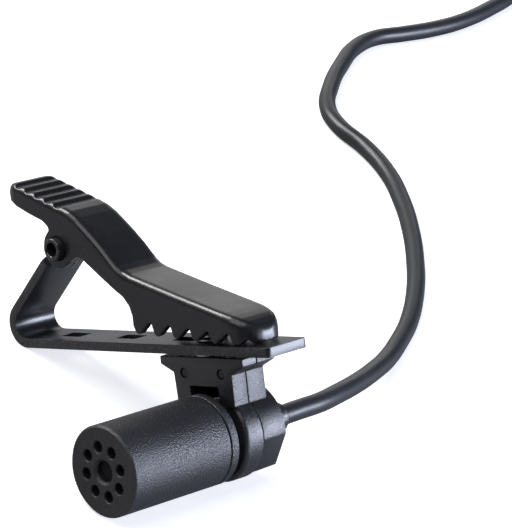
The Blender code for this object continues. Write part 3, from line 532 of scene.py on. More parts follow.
class Graph:
    """A small hand for building one node tree."""

    def __init__(self, tree: bpy.types.NodeTree) -> None:
        """Keeps the tree that nodes are added to."""
        self.tree = tree

    def add(self, kind: str, **settings: object) -> bpy.types.Node:
        """Adds a node, sets its properties and its inputs.

        Args:
            kind: The node's type.
            settings: Properties by name; a name that isn't a property is an input's name
                with underscores for spaces.

        Returns:
            The node.
        """
        node = self.tree.nodes.new(kind)
        for key, value in settings.items():
            if hasattr(node, key):
                setattr(node, key, value)
            else:
                node.inputs[key.replace("_", " ")].default_value = value
        return node

    def link(self, source: bpy.types.NodeSocket, target: bpy.types.NodeSocket) -> None:
        """Joins an output to an input."""
        self.tree.links.new(source, target)

    def maths(
        self, operation: str, first: object, second: object, clamp: bool = False
    ) -> bpy.types.NodeSocket:
        """A Math node of two values, each a number or a socket.

        Args:
            operation: The node's operation.
            first: Its first value.
            second: Its second value.
            clamp: Whether the result is held from 0 to 1.

        Returns:
            The result's socket.
        """
        node = self.tree.nodes.new("ShaderNodeMath")
        node.operation = operation
        node.use_clamp = clamp
        for target, value in zip(node.inputs, (first, second)):
            if isinstance(value, bpy.types.NodeSocket):
                self.link(value, target)
            else:
                target.default_value = value
        return node.outputs[0]

    def ramp(
        self, value: bpy.types.NodeSocket, low: float, high: float, out: Point2 = (0, 1)
    ) -> bpy.types.NodeSocket:
        """A value mapped from low..high to out, and held there.

        Args:
            value: The socket that is mapped.
            low: The value that gives the first of out.
            high: The value that gives the second.
            out: The two results.

        Returns:
            The result's socket.
        """
        node = self.add("ShaderNodeMapRange", clamp=True)
        for name, number in (
            ("From Min", low), ("From Max", high), ("To Min", out[0]), ("To Max", out[1])
        ):
            node.inputs[name].default_value = number
        self.link(value, node.inputs["Value"])
        return node.outputs["Result"]

    def noise(
        self, vector: bpy.types.NodeSocket, scale: object, detail: float, rough: float = 0.5
    ) -> bpy.types.NodeSocket:
        """A noise texture's value.

        Args:
            vector: Where it is read.
            scale: Its scale, a number or a socket.
            detail: Its octaves.
            rough: Its roughness.

        Returns:
            The value's socket.
        """
        node = self.add("ShaderNodeTexNoise", Detail=detail, Roughness=rough)
        self.link(vector, node.inputs["Vector"])
        if isinstance(scale, bpy.types.NodeSocket):
            self.link(scale, node.inputs["Scale"])
        else:
            node.inputs["Scale"].default_value = scale
        return node.outputs["Fac"]

    def blend(
        self, under: object, over: Colour, amount: bpy.types.NodeSocket
    ) -> bpy.types.NodeSocket:
        """Lays a colour over another, or over a socket's colour, by an amount.

        Args:
            under: The colour below, or its socket.
            over: The colour on top.
            amount: How much of it shows.

        Returns:
            The colour's socket.
        """
        mix = self.tree.nodes.new("ShaderNodeMix")
        mix.data_type = "RGBA"
        factor, first, second, result = mix.inputs[0], mix.inputs[6], mix.inputs[7], mix.outputs[2]
        if isinstance(under, bpy.types.NodeSocket):
            self.link(under, first)
        else:
            first.default_value = (*under, 1)
        second.default_value = (*over, 1)
        self.link(amount, factor)
        return result


def new_group(
    name: str, inputs: dict[str, tuple[str, object]], outputs: Sequence[str]
) -> tuple[Graph, bpy.types.Node, bpy.types.Node]:
    """Starts a shader node group.

    Args:
        name: The group's name.
        inputs: Each input's socket type and value.
        outputs: The names of its outputs, which are all values.

    Returns:
        Its graph, its input node and its output node.
    """
    tree = bpy.data.node_groups.new(name, "ShaderNodeTree")
    for key, (kind, value) in inputs.items():
        socket = tree.interface.new_socket(key, in_out="INPUT", socket_type=kind)
        if value is not None:
            socket.default_value = value
    for key in outputs:
        tree.interface.new_socket(key, in_out="OUTPUT", socket_type="NodeSocketFloat")
    graph = Graph(tree)
    return graph, graph.add("NodeGroupInput"), graph.add("NodeGroupOutput")


VECTOR = ("NodeSocketVector", None)


def number(value: float) -> tuple[str, float]:
    """A value socket and what it starts at."""
    return ("NodeSocketFloat", value)


def make_grain_group() -> bpy.types.NodeTree:
    """Fine isotropic grain, as on blasted metal or spark-eroded plastic.

    Returns:
        A group with Height, and Sparkle, a mask of the grain's brightest facets, which the finishes
        paint into their colour as glints: painted highlight.
    """
    graph, given, out = new_group(
        "fine_grain", {"Vector": VECTOR, "Size": number(9000.0)}, ("Height", "Sparkle")
    )
    fine = graph.noise(given.outputs["Vector"], given.outputs["Size"], 2.0, 0.6)
    cells = graph.add("ShaderNodeTexVoronoi", feature="F1")
    graph.link(given.outputs["Vector"], cells.inputs["Vector"])
    graph.link(given.outputs["Size"], cells.inputs["Scale"])
    height = graph.maths(
        "ADD",
        graph.maths("MULTIPLY", fine, 0.65),
        graph.maths("MULTIPLY", cells.outputs["Distance"], 0.35),
    )
    graph.link(height, out.inputs["Height"])
    # Sparkle: where glints are painted into a colour as painted highlight.
    graph.link(graph.ramp(fine, 0.56, 0.72), out.inputs["Sparkle"])
    return graph.tree


def make_smudge_group() -> bpy.types.NodeTree:
    """Slow patches of handling and dust over a surface.

    Returns:
        A group with Patch, from 0 to 1.
    """
    graph, given, out = new_group("smudges", {"Vector": VECTOR, "Size": number(160.0)}, ("Patch",))
    slow = graph.noise(given.outputs["Vector"], given.outputs["Size"], 4.0, 0.55)
    fine_size = graph.maths("MULTIPLY", given.outputs["Size"], 9.0)
    quick = graph.noise(given.outputs["Vector"], fine_size, 3.0, 0.6)
    mixed = graph.maths(
        "ADD", graph.maths("MULTIPLY", slow, 0.7), graph.maths("MULTIPLY", quick, 0.3)
    )
    graph.link(graph.ramp(mixed, 0.35, 0.65), out.inputs["Patch"])
    return graph.tree


def make_edge_group() -> bpy.types.NodeTree:
    """Wear that breaks up along convex edges.

    Returns:
        A group with Wear, a mask of where a coating has rubbed thin.
    """
    graph, given, out = new_group(
        "edge_wear", {
            "Vector": VECTOR, "Start": number(0.52), "End": number(0.6), "Size": number(1800.0)
        }, ("Wear",)
    )
    shape = graph.add("ShaderNodeNewGeometry")
    speckle = graph.noise(given.outputs["Vector"], given.outputs["Size"], 3.0, 0.7)
    span = graph.maths("SUBTRACT", given.outputs["End"], given.outputs["Start"])
    raised = graph.maths("SUBTRACT", shape.outputs["Pointiness"], given.outputs["Start"])
    edge = graph.maths("DIVIDE", raised, span, clamp=True)
    broken = graph.maths("MULTIPLY", edge, graph.ramp(speckle, 0.35, 0.6))
    graph.link(broken, out.inputs["Wear"])
    return graph.tree


def make_streak_group() -> bpy.types.NodeTree:
    """Fine drawn or turned lines along one direction.

    Returns:
        A group with Lines, a height of fine streaks that run along X of the vector.
    """
    graph, given, out = new_group(
        "drawn_lines", {"Vector": VECTOR, "Size": number(4000.0)}, ("Lines",)
    )
    stretch = graph.add("ShaderNodeMapping")
    stretch.inputs["Scale"].default_value = (0.03, 1.0, 1.0)
    graph.link(given.outputs["Vector"], stretch.inputs["Vector"])
    graph.link(
        graph.noise(stretch.outputs["Vector"], given.outputs["Size"], 3.0, 0.6), out.inputs["Lines"]
    )
    return graph.tree


def make_weave_group() -> bpy.types.NodeTree:
    """A plain weave of two sets of threads.

    Returns:
        A group with Threads, the height of the woven surface.
    """
    graph, given, out = new_group(
        "plain_weave", {"Vector": VECTOR, "Pitch": number(5000.0)}, ("Threads",)
    )
    parts = graph.add("ShaderNodeSeparateXYZ")
    graph.link(given.outputs["Vector"], parts.inputs["Vector"])
    waves = []
    for axis in ("X", "Z"):
        turns = graph.maths("MULTIPLY", parts.outputs[axis], given.outputs["Pitch"])
        waves.append(graph.maths("SINE", turns, 0.0))
    woven = graph.maths("MULTIPLY", waves[0], waves[1])
    graph.link(graph.ramp(woven, -1.0, 1.0), out.inputs["Threads"])
    return graph.tree


class Effects:
    """The shared node groups, each built once."""

    def __init__(self) -> None:
        """Builds every group."""
        self.grain = make_grain_group()
        self.smudge = make_smudge_group()
        self.edge = make_edge_group()
        self.streak = make_streak_group()
        self.weave = make_weave_group()


# ---------------------------------------------------------------------------------------
# Finishes.
# ---------------------------------------------------------------------------------------


@dataclass(frozen=True)
class Finish:
    """A finish: one Principled surface with the detail that its maker gave it.

    Sizes of texture are in features per metre. Depths are in metres.
    """

    name: str
    colour: Colour
    patch_colour: Colour
    roughness: float
    rough_change: float
    metallic: float = 0.0
    specular: float = 0.5
    grain_size: float = 9000.0
    grain_depth: float = 0.0
    # Sparkle lays painted highlights, glints of the grain painted into the colour, in the wear
    # colour.
    sparkle: float = 0.0
    streak_size: float = 0.0
    streak_depth: float = 0.0
    wave_size: float = 0.0
    wave_depth: float = 0.0
    weave_pitch: float = 0.0
    weave_depth: float = 0.0
    wear: float = 0.0
    wear_start: float = 0.52
    wear_end: float = 0.6
    # The colour of rubbed edges, and also of the painted glints that sparkle lays on.
    wear_and_glint_colour: Colour = (0.3, 0.3, 0.31)
    smudge_size: float = 160.0

    def build(self, effects: Effects) -> bpy.types.Material:
        """Makes the material.

        Args:
            effects: The shared node groups.

        Returns:
            The new material.
        """
        material = bpy.data.materials.new(self.name)
        material.use_nodes = True
        graph = Graph(material.node_tree)
        shader = material.node_tree.nodes["Principled BSDF"]
        shader.inputs["Metallic"].default_value = self.metallic
        shader.inputs["Specular IOR Level"].default_value = self.specular
        where = graph.add("ShaderNodeTexCoord").outputs["Object"]
        patch = self._group(graph, effects.smudge, where, Size=self.smudge_size).outputs["Patch"]
        heights: list[tuple[bpy.types.NodeSocket, float]] = []
        base = graph.blend(self.colour, self.patch_colour, patch)
        low, high = self.roughness - self.rough_change, self.roughness + self.rough_change
        rough = graph.ramp(patch, 0.0, 1.0, (low, high))
        if self.grain_depth:
            grain = self._group(graph, effects.grain, where, Size=self.grain_size)
            heights.append((grain.outputs["Height"], self.grain_depth))
            # Painted highlight: glints on the grain's brightest facets, painted into the base
            # colour.
            if self.sparkle:
                base = graph.blend(
                    base,
                    self.wear_and_glint_colour,
                    graph.maths("MULTIPLY", grain.outputs["Sparkle"], self.sparkle),
                )
        if self.streak_depth:
            streak = self._group(graph, effects.streak, where, Size=self.streak_size)
            heights.append((streak.outputs["Lines"], self.streak_depth))
            rough = graph.maths(
                "ADD", rough, graph.ramp(streak.outputs["Lines"], 0.3, 0.7, (-0.05, 0.05))
            )
        if self.wave_depth:
            heights.append((graph.noise(where, self.wave_size, 1.5), self.wave_depth))
        if self.weave_depth:
            weave = self._group(graph, effects.weave, where, Pitch=self.weave_pitch)
            heights.append((weave.outputs["Threads"], self.weave_depth))
            base = graph.blend(
                base, tuple(2.2 * value for value in self.patch_colour), weave.outputs["Threads"]
            )
        if self.wear:
            worn = self._group(graph, effects.edge, where, Start=self.wear_start, End=self.wear_end)
            amount = graph.maths("MULTIPLY", worn.outputs["Wear"], self.wear)
            base = graph.blend(base, self.wear_and_glint_colour, amount)
            rough = graph.maths("SUBTRACT", rough, graph.maths("MULTIPLY", amount, 0.12))
        graph.link(base, shader.inputs["Base Color"])
        graph.link(rough, shader.inputs["Roughness"])
        normal = None
        for height, depth in heights:
            bump = graph.add("ShaderNodeBump", Strength=1.0)
            bump.inputs["Distance"].default_value = depth
            graph.link(height, bump.inputs["Height"])
            if normal is not None:
                graph.link(normal, bump.inputs["Normal"])
            normal = bump.outputs["Normal"]
        if normal is not None:
            graph.link(normal, shader.inputs["Normal"])
        return material

    @staticmethod
    def _group(
        graph: Graph, tree: bpy.types.NodeTree, where: bpy.types.NodeSocket, **values: float
    ) -> bpy.types.Node:
        """Places a shared group and sets its values.

        Args:
            graph: The material's nodes.
            tree: The shared group.
            where: The coordinates that it reads.
            values: Its other inputs, by name.

        Returns:
            The group's node.
        """
        node = graph.add("ShaderNodeGroup", node_tree=tree)
        graph.link(where, node.inputs["Vector"])
        for key, value in values.items():
            node.inputs[key].default_value = value
        return node


# Its sparkle paints glints into the colour: painted highlight on the grain.
ANODISED = Finish(
    "satin_anodised_barrel", (0.011, 0.0115, 0.014), (0.015, 0.0155, 0.019), 0.38, 0.03,
    specular=0.75, grain_size=6600, grain_depth=0.0001, sparkle=0.25, wear_and_glint_colour=(
        0.05, 0.05, 0.06
    ),
)
# Its sparkle paints glints into the colour: painted highlight on the grain.
ANODISED_FACE = Finish(
    "matte_anodised_face", (0.016, 0.0165, 0.019), (0.02, 0.0205, 0.024), 0.48, 0.04,
    specular=0.6, grain_size=6500, grain_depth=0.00008, sparkle=0.2, wear_and_glint_colour=(
        0.05, 0.05, 0.056
    ),
)
MOULDED = Finish(
    "spark_eroded_plastic", (0.012, 0.0125, 0.015), (0.016, 0.0165, 0.02), 0.31, 0.05,
    specular=0.8, grain_size=7000, grain_depth=0.00005, wear=0.35, wear_start=0.53, wear_end=0.65,
    wear_and_glint_colour=(0.05, 0.05, 0.058),
)
COATED = Finish(
    "satin_black_coating", (0.009, 0.0095, 0.0115), (0.013, 0.0135, 0.016), 0.3, 0.04,
    specular=0.6, wave_size=900, wave_depth=0.00001, grain_size=7000, grain_depth=0.000003,
    wear=0.5, wear_start=0.54, wear_end=0.68, wear_and_glint_colour=(0.1, 0.1, 0.115),
)
# Its sparkle paints bright specks along the sheared edge: painted highlight, over patches of its
# own tone.
SHEARED = Finish(
    "sheared_coated_edge", (0.012, 0.0125, 0.015), (0.03, 0.03, 0.034), 0.32, 0.08,
    specular=0.7, grain_size=3800, grain_depth=0.00008, sparkle=0.4, wear_and_glint_colour=(
        0.14, 0.14, 0.15
    ), smudge_size=1500,
)
STEEL = Finish(
    "bright_steel", (0.5, 0.5, 0.51), (0.42, 0.42, 0.43), 0.24, 0.06,
    metallic=1.0, streak_size=5000, streak_depth=0.000006,
)
SPRING = Finish(
    "drawn_spring_wire", (0.33, 0.33, 0.34), (0.25, 0.25, 0.26), 0.3, 0.06,
    metallic=1.0, streak_size=6000, streak_depth=0.000006,
)
NICKEL = Finish(
    "nickel_plate", (0.63, 0.6, 0.55), (0.57, 0.54, 0.5), 0.14, 0.04,
    metallic=1.0, streak_size=3000, streak_depth=0.000002,
)
JACKET = Finish(
    "satin_cable_jacket", (0.013, 0.0155, 0.02), (0.016, 0.019, 0.024), 0.4, 0.04,
    specular=0.6, wave_size=1500, wave_depth=0.000012, grain_size=7000, grain_depth=0.000008,
)
SCREEN = Finish(
    "acoustic_cloth", (0.004, 0.004, 0.005), (0.008, 0.008, 0.009), 0.9, 0.05,
    weave_pitch=42000, weave_depth=0.00004,
)
SILICONE = Finish(
    "silicone",
    (0.03, 0.03, 0.03),
    (0.04, 0.04, 0.04),
    0.7,
    0.05,
    grain_size=5000,
    grain_depth=0.00001,
)
BOARD = Finish(
    "solder_mask",
    (0.02, 0.09, 0.04),
    (0.03, 0.12, 0.05),
    0.4,
    0.08,
    wave_size=2500,
    wave_depth=0.00001,
)
INSULATION = Finish(
    "core_insulation",
    (0.45, 0.05, 0.04),
    (0.38, 0.04, 0.035),
    0.45,
    0.05,
    wave_size=3000,
    wave_depth=0.000005,
)
BURNISHED = Finish(
    "burnished_pivot", (0.1, 0.1, 0.108), (0.07, 0.07, 0.076), 0.26, 0.05,
    metallic=0.8, streak_size=4000, streak_depth=0.000004,
)
COLLAR = Finish(
    "insulating_collar",
    (0.03, 0.03, 0.032),
    (0.04, 0.04, 0.042),
    0.4,
    0.05,
    grain_size=7000,
    grain_depth=0.000005,
)
STRAP = Finish(
    "loop_strap", (0.012, 0.012, 0.014), (0.02, 0.02, 0.023), 0.85, 0.05,
    grain_size=3500, grain_depth=0.00012, weave_pitch=9000, weave_depth=0.00005,
)


class Finishes:
    """Every material, built once."""

    def __init__(self, effects: Effects) -> None:
        """Builds the materials from their finishes.

        Args:
            effects: The shared groups.
        """
        self.anodised = ANODISED.build(effects)
        self.face = ANODISED_FACE.build(effects)
        self.moulded = MOULDED.build(effects)
        self.coated = COATED.build(effects)
        self.sheared = SHEARED.build(effects)
        self.steel = STEEL.build(effects)
        self.spring = SPRING.build(effects)
        self.nickel = NICKEL.build(effects)
        self.jacket = JACKET.build(effects)
        self.screen = SCREEN.build(effects)
        self.silicone = SILICONE.build(effects)
        self.board = BOARD.build(effects)
        self.insulation = INSULATION.build(effects)
        self.burnished = BURNISHED.build(effects)
        self.collar = COLLAR.build(effects)
        self.strap = STRAP.build(effects)


def paint_where(
    piece: bpy.types.Object, finish: bpy.types.Material, wanted: Callable[
        [bpy.types.MeshPolygon], bool
    ]
) -> None:
    """Gives some faces a second finish.

    Args:
        piece: A dressed piece.
        finish: The second material.
        wanted: The test for the faces that take it.
    """
    piece.data.materials.append(finish)
    index = len(piece.data.materials) - 1
    for face in piece.data.polygons:
        if wanted(face):
            face.material_index = index


# ---------------------------------------------------------------------------------------
# Places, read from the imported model.
# ---------------------------------------------------------------------------------------


class Places:
    """The frames of the sub-assemblies."""

    def __init__(self) -> None:
        """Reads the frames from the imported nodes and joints."""
        low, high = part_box("mic_housing")
        height = (low.z + high.z) / 2
        mic_x = (low.x + high.x) / 2
        self.capsule = Matrix.Translation(
            (mic_x, low.y, height)
        ) @ Matrix.Rotation(-math.pi / 2, 4, "X")
        self.stand = Matrix.Translation((mic_x, low.y, 0.0))
        joints = {joint["name"]: joint for joint in frame["joints"]}
        swivel = joints["clip_swivel"]
        up = Vector(swivel["axis"]).normalized()
        across = Vector((0, 1, 0))
        along = across.cross(up).normalized()
        turn = Matrix((along, across, up)).transposed().to_4x4()
        self.clip = Matrix.Translation(swivel["pos_m"]) @ turn
        hinge = self.clip.inverted() @ Vector(joints["jaw_hinge"]["pos_m"])
        self.pivot: Point2 = (hinge.x / MM, hinge.z / MM)


# ---------------------------------------------------------------------------------------
# Sub-assemblies. Lengths are millimetres in each sub-assembly's own frame.
# ---------------------------------------------------------------------------------------


@dataclass
class MicrophoneCapsule:
    """The turned barrel with its sound holes, its rear cap and what closes its cable end."""

    places: Places
    finishes: Finishes
    radius: float = 4.75
    length: float = 14.42
    wall: float = 0.7
    front_wall: float = 0.8
    rim: float = 0.2
    hole_count: int = 8
    hole_radius: float = 0.6
    hole_circle: float = 2.56
    hole_phase: float = 34.4
    hole_chamfer: float = 0.1
    centre_radius: float = 1.1
    centre_sink: float = 1.38
    sink_depth: float = 0.3
    rear_ring: float = 1.0
    seam: float = 0.14
    spigot: float = 1.8
    neck_radius: float = 3.5
    neck_length: float = 5.4
    wire_bore: float = 1.3
    relief_radius: float = 1.6
    relief_end: float = 10.6

    def make_barrel(self) -> bpy.types.Object:
        """The barrel: a deep cup, drilled through its front.

        Returns:
            The barrel.
        """
        inner = self.radius - self.wall
        end = self.length - self.rear_ring - self.seam
        edge = 0.08
        outside = softened(
            [
                (self.radius - edge, end), (self.radius, end - edge), (self.radius, self.rim),
                (self.radius - self.rim, 0.0),
            ],
            0.12,
            closed=False,
        )
        sink = softened(
            [
                (self.centre_sink + 0.6, 0.0), (self.centre_sink, 0.0),
                (self.centre_radius, self.sink_depth), (self.centre_radius, self.front_wall),
            ],
            0.05,
            closed=False,
        )
        section = [(inner, end), *outside, *sink, (inner, self.front_wall)]
        barrel = turned("mic_barrel", section, 160, closed=True)
        mouth = self.hole_radius + self.hole_chamfer
        drill = [
            (0, -0.5), (mouth + 0.5, -0.5), (self.hole_radius, self.hole_chamfer),
            (self.hole_radius, 2.0), (0, 2.0),
        ]
        for i in range(self.hole_count):
            angle = math.radians(self.hole_phase + 360 / self.hole_count * i)
            tool = turned(f"drill_{i}", drill, 40)
            tool.location = (
                self.hole_circle * math.cos(angle), -self.hole_circle * math.sin(angle), 0
            )
            join_by(barrel, tool)
        return barrel

    def make_cap(self) -> bpy.types.Object:
        """The rear cap: a bright-edged flange with the neck that the holder grips.

        Returns:
            The cap.
        """
        inner = self.radius - self.wall - 0.05
        start = self.length - self.rear_ring
        section = [
            (self.wire_bore, self.length + self.neck_length),
            (self.neck_radius, self.length + self.neck_length),
            (self.neck_radius, self.length),
            *softened(
                [
                    (self.radius - 0.6, self.length), (self.radius, self.length),
                    (self.radius, start), (self.radius - 0.6, start),
                ],
                0.14,
                closed=False,
            ),
            (inner, start),
            (inner, start - self.spigot),
            (self.wire_bore, start - self.spigot),
        ]
        return turned("mic_rear_cap", section, 160, closed=True)

    def make_relief(self) -> bpy.types.Object:
        """The collar round the cable: three ribs and a rounded mouth.

        Returns:
            The collar.
        """
        start = self.length + self.neck_length + 0.05
        end = self.length + self.relief_end
        bore = 1.13
        rib, groove = self.relief_radius, self.relief_radius - 0.16
        outside: list[Point2] = [(rib, start), (rib, end - 3.6)]
        for i in range(3):
            foot = end - 3.5 + 0.85 * i
            outside += [(groove, foot), (groove, foot + 0.3), (rib, foot + 0.4), (rib, foot + 0.75)]
        outside += [(rib, end - 0.3), (rib - 0.25, end)]
        section = [
            (bore, start), *softened(outside, 0.08, 3, closed=False), (bore + 0.1, end),
            (bore, end - 0.1),
        ]
        return turned("cable_collar", section, 72, closed=True)

    def build(self) -> None:
        """Makes the capsule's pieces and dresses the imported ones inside."""
        root, look = Body.MICROPHONE, self.finishes
        barrel = self.make_barrel()
        barrel = dress(
            settle(barrel, self.places.capsule, 25),
            look.anodised,
            root,
            ["mic_housing"],
        )
        front = self.places.capsule.translation.y + (self.front_wall + 0.05) * MM
        paint_where(
            barrel, look.face, lambda face: face.center.y < front and abs(face.normal.y) > 0.5
        )
        cap = settle(self.make_cap(), self.places.capsule, 25)
        dress(cap, look.anodised, root, ["rear_cap"])
        relief = settle(self.make_relief(), self.places.capsule, 40)
        dress(relief, look.moulded, root, ["strain_relief"])
        inside = {
            "dust_screen": look.screen,
            "electret_capsule": look.nickel,
            "capsule_gasket": look.silicone,
            "capsule_board": look.board,
            "core_wire_signal": look.insulation,
            "core_wire_return": look.insulation,
        }
        for node, finish in inside.items():
            repaint(node, finish)


def repaint(node: str, finish: bpy.types.Material) -> None:
    """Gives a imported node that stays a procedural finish.

    Args:
        node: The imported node's name.
        finish: Its material.
    """
    piece = frame["nodes"][node]
    if not piece.material_slots:
        piece.data.materials.append(finish)
    for place in piece.material_slots:
        place.material = finish
    log.info("%s: packed node, refinished", node)


@dataclass
class Holder:
    """The moulded bracket in two halves, whose ring grips the capsule's neck."""

    places: Places
    finishes: Finishes
    drop: float = 8.82
    middle: float = 17.0
    mic_length: float = 14.42
    ring_radius: float = 4.85
    ring_front: float = 1.0
    ring_seam: float = 3.4
    ring_length: float = 5.65
    back_wall: float = 0.8
    neck_radius: float = 3.55
    half_depth: float = 2.05
    rear_depth: float = 2.55
    top_gap: float = 0.4
    flange_half: float = 6.1
    flange_edge: float = 0.85
    flange_slope: float = 0.85
    neck_half: float = 4.3
    foot_half: float = 4.2
    foot: float = 5.5
    window_half: float = 2.1
    window_top: float = 3.4
    facets: tuple[float, ...] = (-8.0, -56.0, -90.0, -124.0, -172.0)
    pin_radius: float = 0.5
    pin_x: float = 2.7
    pin_drop: float = 2.1
    wire_radius: float = 0.28
    rivet_hole: float = 0.85
    rivet_pocket: float = 1.35

    def outline(self) -> list[Point2]:
        """The T-shaped plate's outline, with rounded corners.

        Returns:
            The corners, seen from the front.
        """
        top = -self.top_gap
        shoulder = top - self.flange_edge
        half = [
            (self.flange_half, top),
            (self.flange_half, shoulder),
            (self.neck_half, shoulder - self.flange_slope),
            (self.foot_half, -self.foot),
        ]
        corners = half + [(-x, z) for x, z in reversed(half)]
        return softened(corners, 0.18, 4)

    def ring_front_part(self, start: float, end: float) -> bpy.types.Object:
        """The ring's front part, round, with a softly rounded front edge.

        Args:
            start: Where it begins along the axis.
            end: Where it ends.

        Returns:
            The solid.
        """
        rounding = [
            (self.ring_radius - 0.5 + 0.5 * math.sin(a), start + 0.5 - 0.5 * math.cos(a))
            for a in [math.pi / 2 * i / 6 for i in range(7)]
        ]
        blank = turned(
            "ring_front",
            [
                (0, start), *rounding, (self.ring_radius, end - 0.06),
                (self.ring_radius - 0.06, end), (0, end),
            ],
            144,
        )
        blank.matrix_world = Matrix.Translation((0, 0, -self.drop)) @ Matrix.Rotation(
            -math.pi / 2, 4, "X"
        )
        return blank

    def ring_rear_part(self, start: float, end: float) -> bpy.types.Object:
        """The ring's rear part, round above and faceted below.

        Args:
            start: Where it begins along the axis.
            end: Where it ends.

        Returns:
            The solid.
        """
        centre = (0.0, -self.drop)
        corners = arc(centre, self.ring_radius, 188, self.facets[0], 72)
        corners += [
            arc(centre, self.ring_radius, angle, angle, 1)[0] for angle in self.facets[1:-1]
        ]
        return bevelled(slab("ring_rear", corners, start, end), 0.12, 3, 25)

    def bore(self, half: bpy.types.Object, low: float, high: float) -> bpy.types.Object:
        """Cuts the neck's bore, the pins' holes, the rivet's hole and the window.

        Args:
            half: The half that is cut.
            low: Where the half begins along the axis.
            high: Where it ends.

        Returns:
            The half.
        """
        margin = 1.0
        ring_end = self.mic_length + self.ring_front + self.ring_length
        bore_end = ring_end - self.middle - self.back_wall
        tools = [
            rod("neck_bore", "Y", self.neck_radius, low - margin, bore_end, (0, -self.drop), 128)
        ]
        for side in (-1, 1):
            place = (side * self.pin_x, -self.pin_drop)
            tools.append(
                rod("pin_hole", "Y", self.pin_radius + 0.06, low - margin, high + margin, place, 48)
            )
        tools.append(rod("rivet_hole", "Z", self.rivet_hole, -3.0, margin, (0, 0), 48))
        tools.append(rod("rivet_pocket", "Z", self.rivet_pocket, -3.03, -2.34, (0, 0), 48))
        window = softened(
            [
                (-self.window_half, -self.window_top), (self.window_half, -self.window_top),
                (self.window_half, -self.foot - margin), (-self.window_half, -self.foot - margin),
            ],
            0.15,
        )
        tools.append(slab("window", window, low - margin, self.half_depth / 2))
        for tool in tools:
            join_by(half, tool, solver="MANIFOLD")
        return half

    def make_halves(self) -> tuple[bpy.types.Object, bpy.types.Object]:
        """The two halves, which meet at a fine seam.

        Returns:
            The front half and the rear half.
        """
        seam = 0.03
        start = self.mic_length + self.ring_front - self.middle
        split = self.mic_length + self.ring_seam - self.middle
        back = start + self.ring_length
        front = bevelled(slab("holder_front_half", self.outline(), -self.half_depth, -seam), 0.12)
        join_by(front, self.ring_front_part(start, split - seam), "UNION", "MANIFOLD")
        self.bore(front, -self.half_depth, split)
        rear = bevelled(slab("holder_rear_half", self.outline(), seam, self.rear_depth), 0.12)
        join_by(
            rear,
            rod("ring_notch", "Y", self.ring_radius + 0.03, -1, split + seam, (0, -self.drop), 144),
            solver="MANIFOLD",
        )
        join_by(rear, self.ring_rear_part(split + seam, back), "UNION", "MANIFOLD")
        self.bore(rear, 0, back)
        join_by(
            rear,
            rod("relief_hole", "Y", 1.66, split, back + 1, (0, -self.drop), 96),
            solver="MANIFOLD",
        )
        return front, rear

    def make_pin(self, side: int) -> bpy.types.Object:
        """One dowel pin: its domed head lies just below the plate's face.

        Args:
            side: -1 for the left, 1 for the right.

        Returns:
            The pin.
        """
        low, high = -self.half_depth + 0.12, self.rear_depth - 0.12
        pin = turned(
            "holder_dowel_" + ("left" if side < 0 else "right"),
            [
                (0, low),
                *softened(
                    [(0.2, low), (self.pin_radius, low), (self.pin_radius, high), (0.2, high)],
                    0.12, 4, closed=False,
                ),
                (0, high),
            ],
            40,
        )
        place = Matrix.Translation(
            (side * self.pin_x * MM, 0, -self.pin_drop * MM)
        ) @ Matrix.Rotation(-math.pi / 2, 4, "X")
        return settle(pin, self.places.clip @ place, 40)

    def make_wire(self) -> bpy.types.Object:
        """The bent wire that lies across the neck in the window.

        Returns:
            The wire.
        """
        height = -self.drop + 3.5 + self.wire_radius + 0.05
        y = -self.half_depth / 2
        knots = [
            (-1.6, y, height + 0.28), (-0.96, y, height + 0.07), (0, y, height),
            (0.96, y, height + 0.07), (1.6, y, height + 0.28),
        ]
        points = smooth_line(knots, 6)
        return settle(wire("neck_wire", points, self.wire_radius, 12), self.places.clip, 50)

    def build(self) -> None:
        """Makes the holder's pieces."""
        root, look = Body.MICROPHONE, self.finishes
        front, rear = self.make_halves()
        dress(
            settle(front, self.places.clip, 28),
            look.moulded,
            root,
            ["holder_front"],
        )
        dress(
            settle(rear, self.places.clip, 28), look.moulded, root, ["holder_rear"]
        )
        dress(self.make_pin(-1), look.coated, root, ["holder_pin_left"])
        dress(self.make_pin(1), look.coated, root, ["holder_pin_right"])
        dress(self.make_wire(), look.steel, root, ["retaining_wire"])


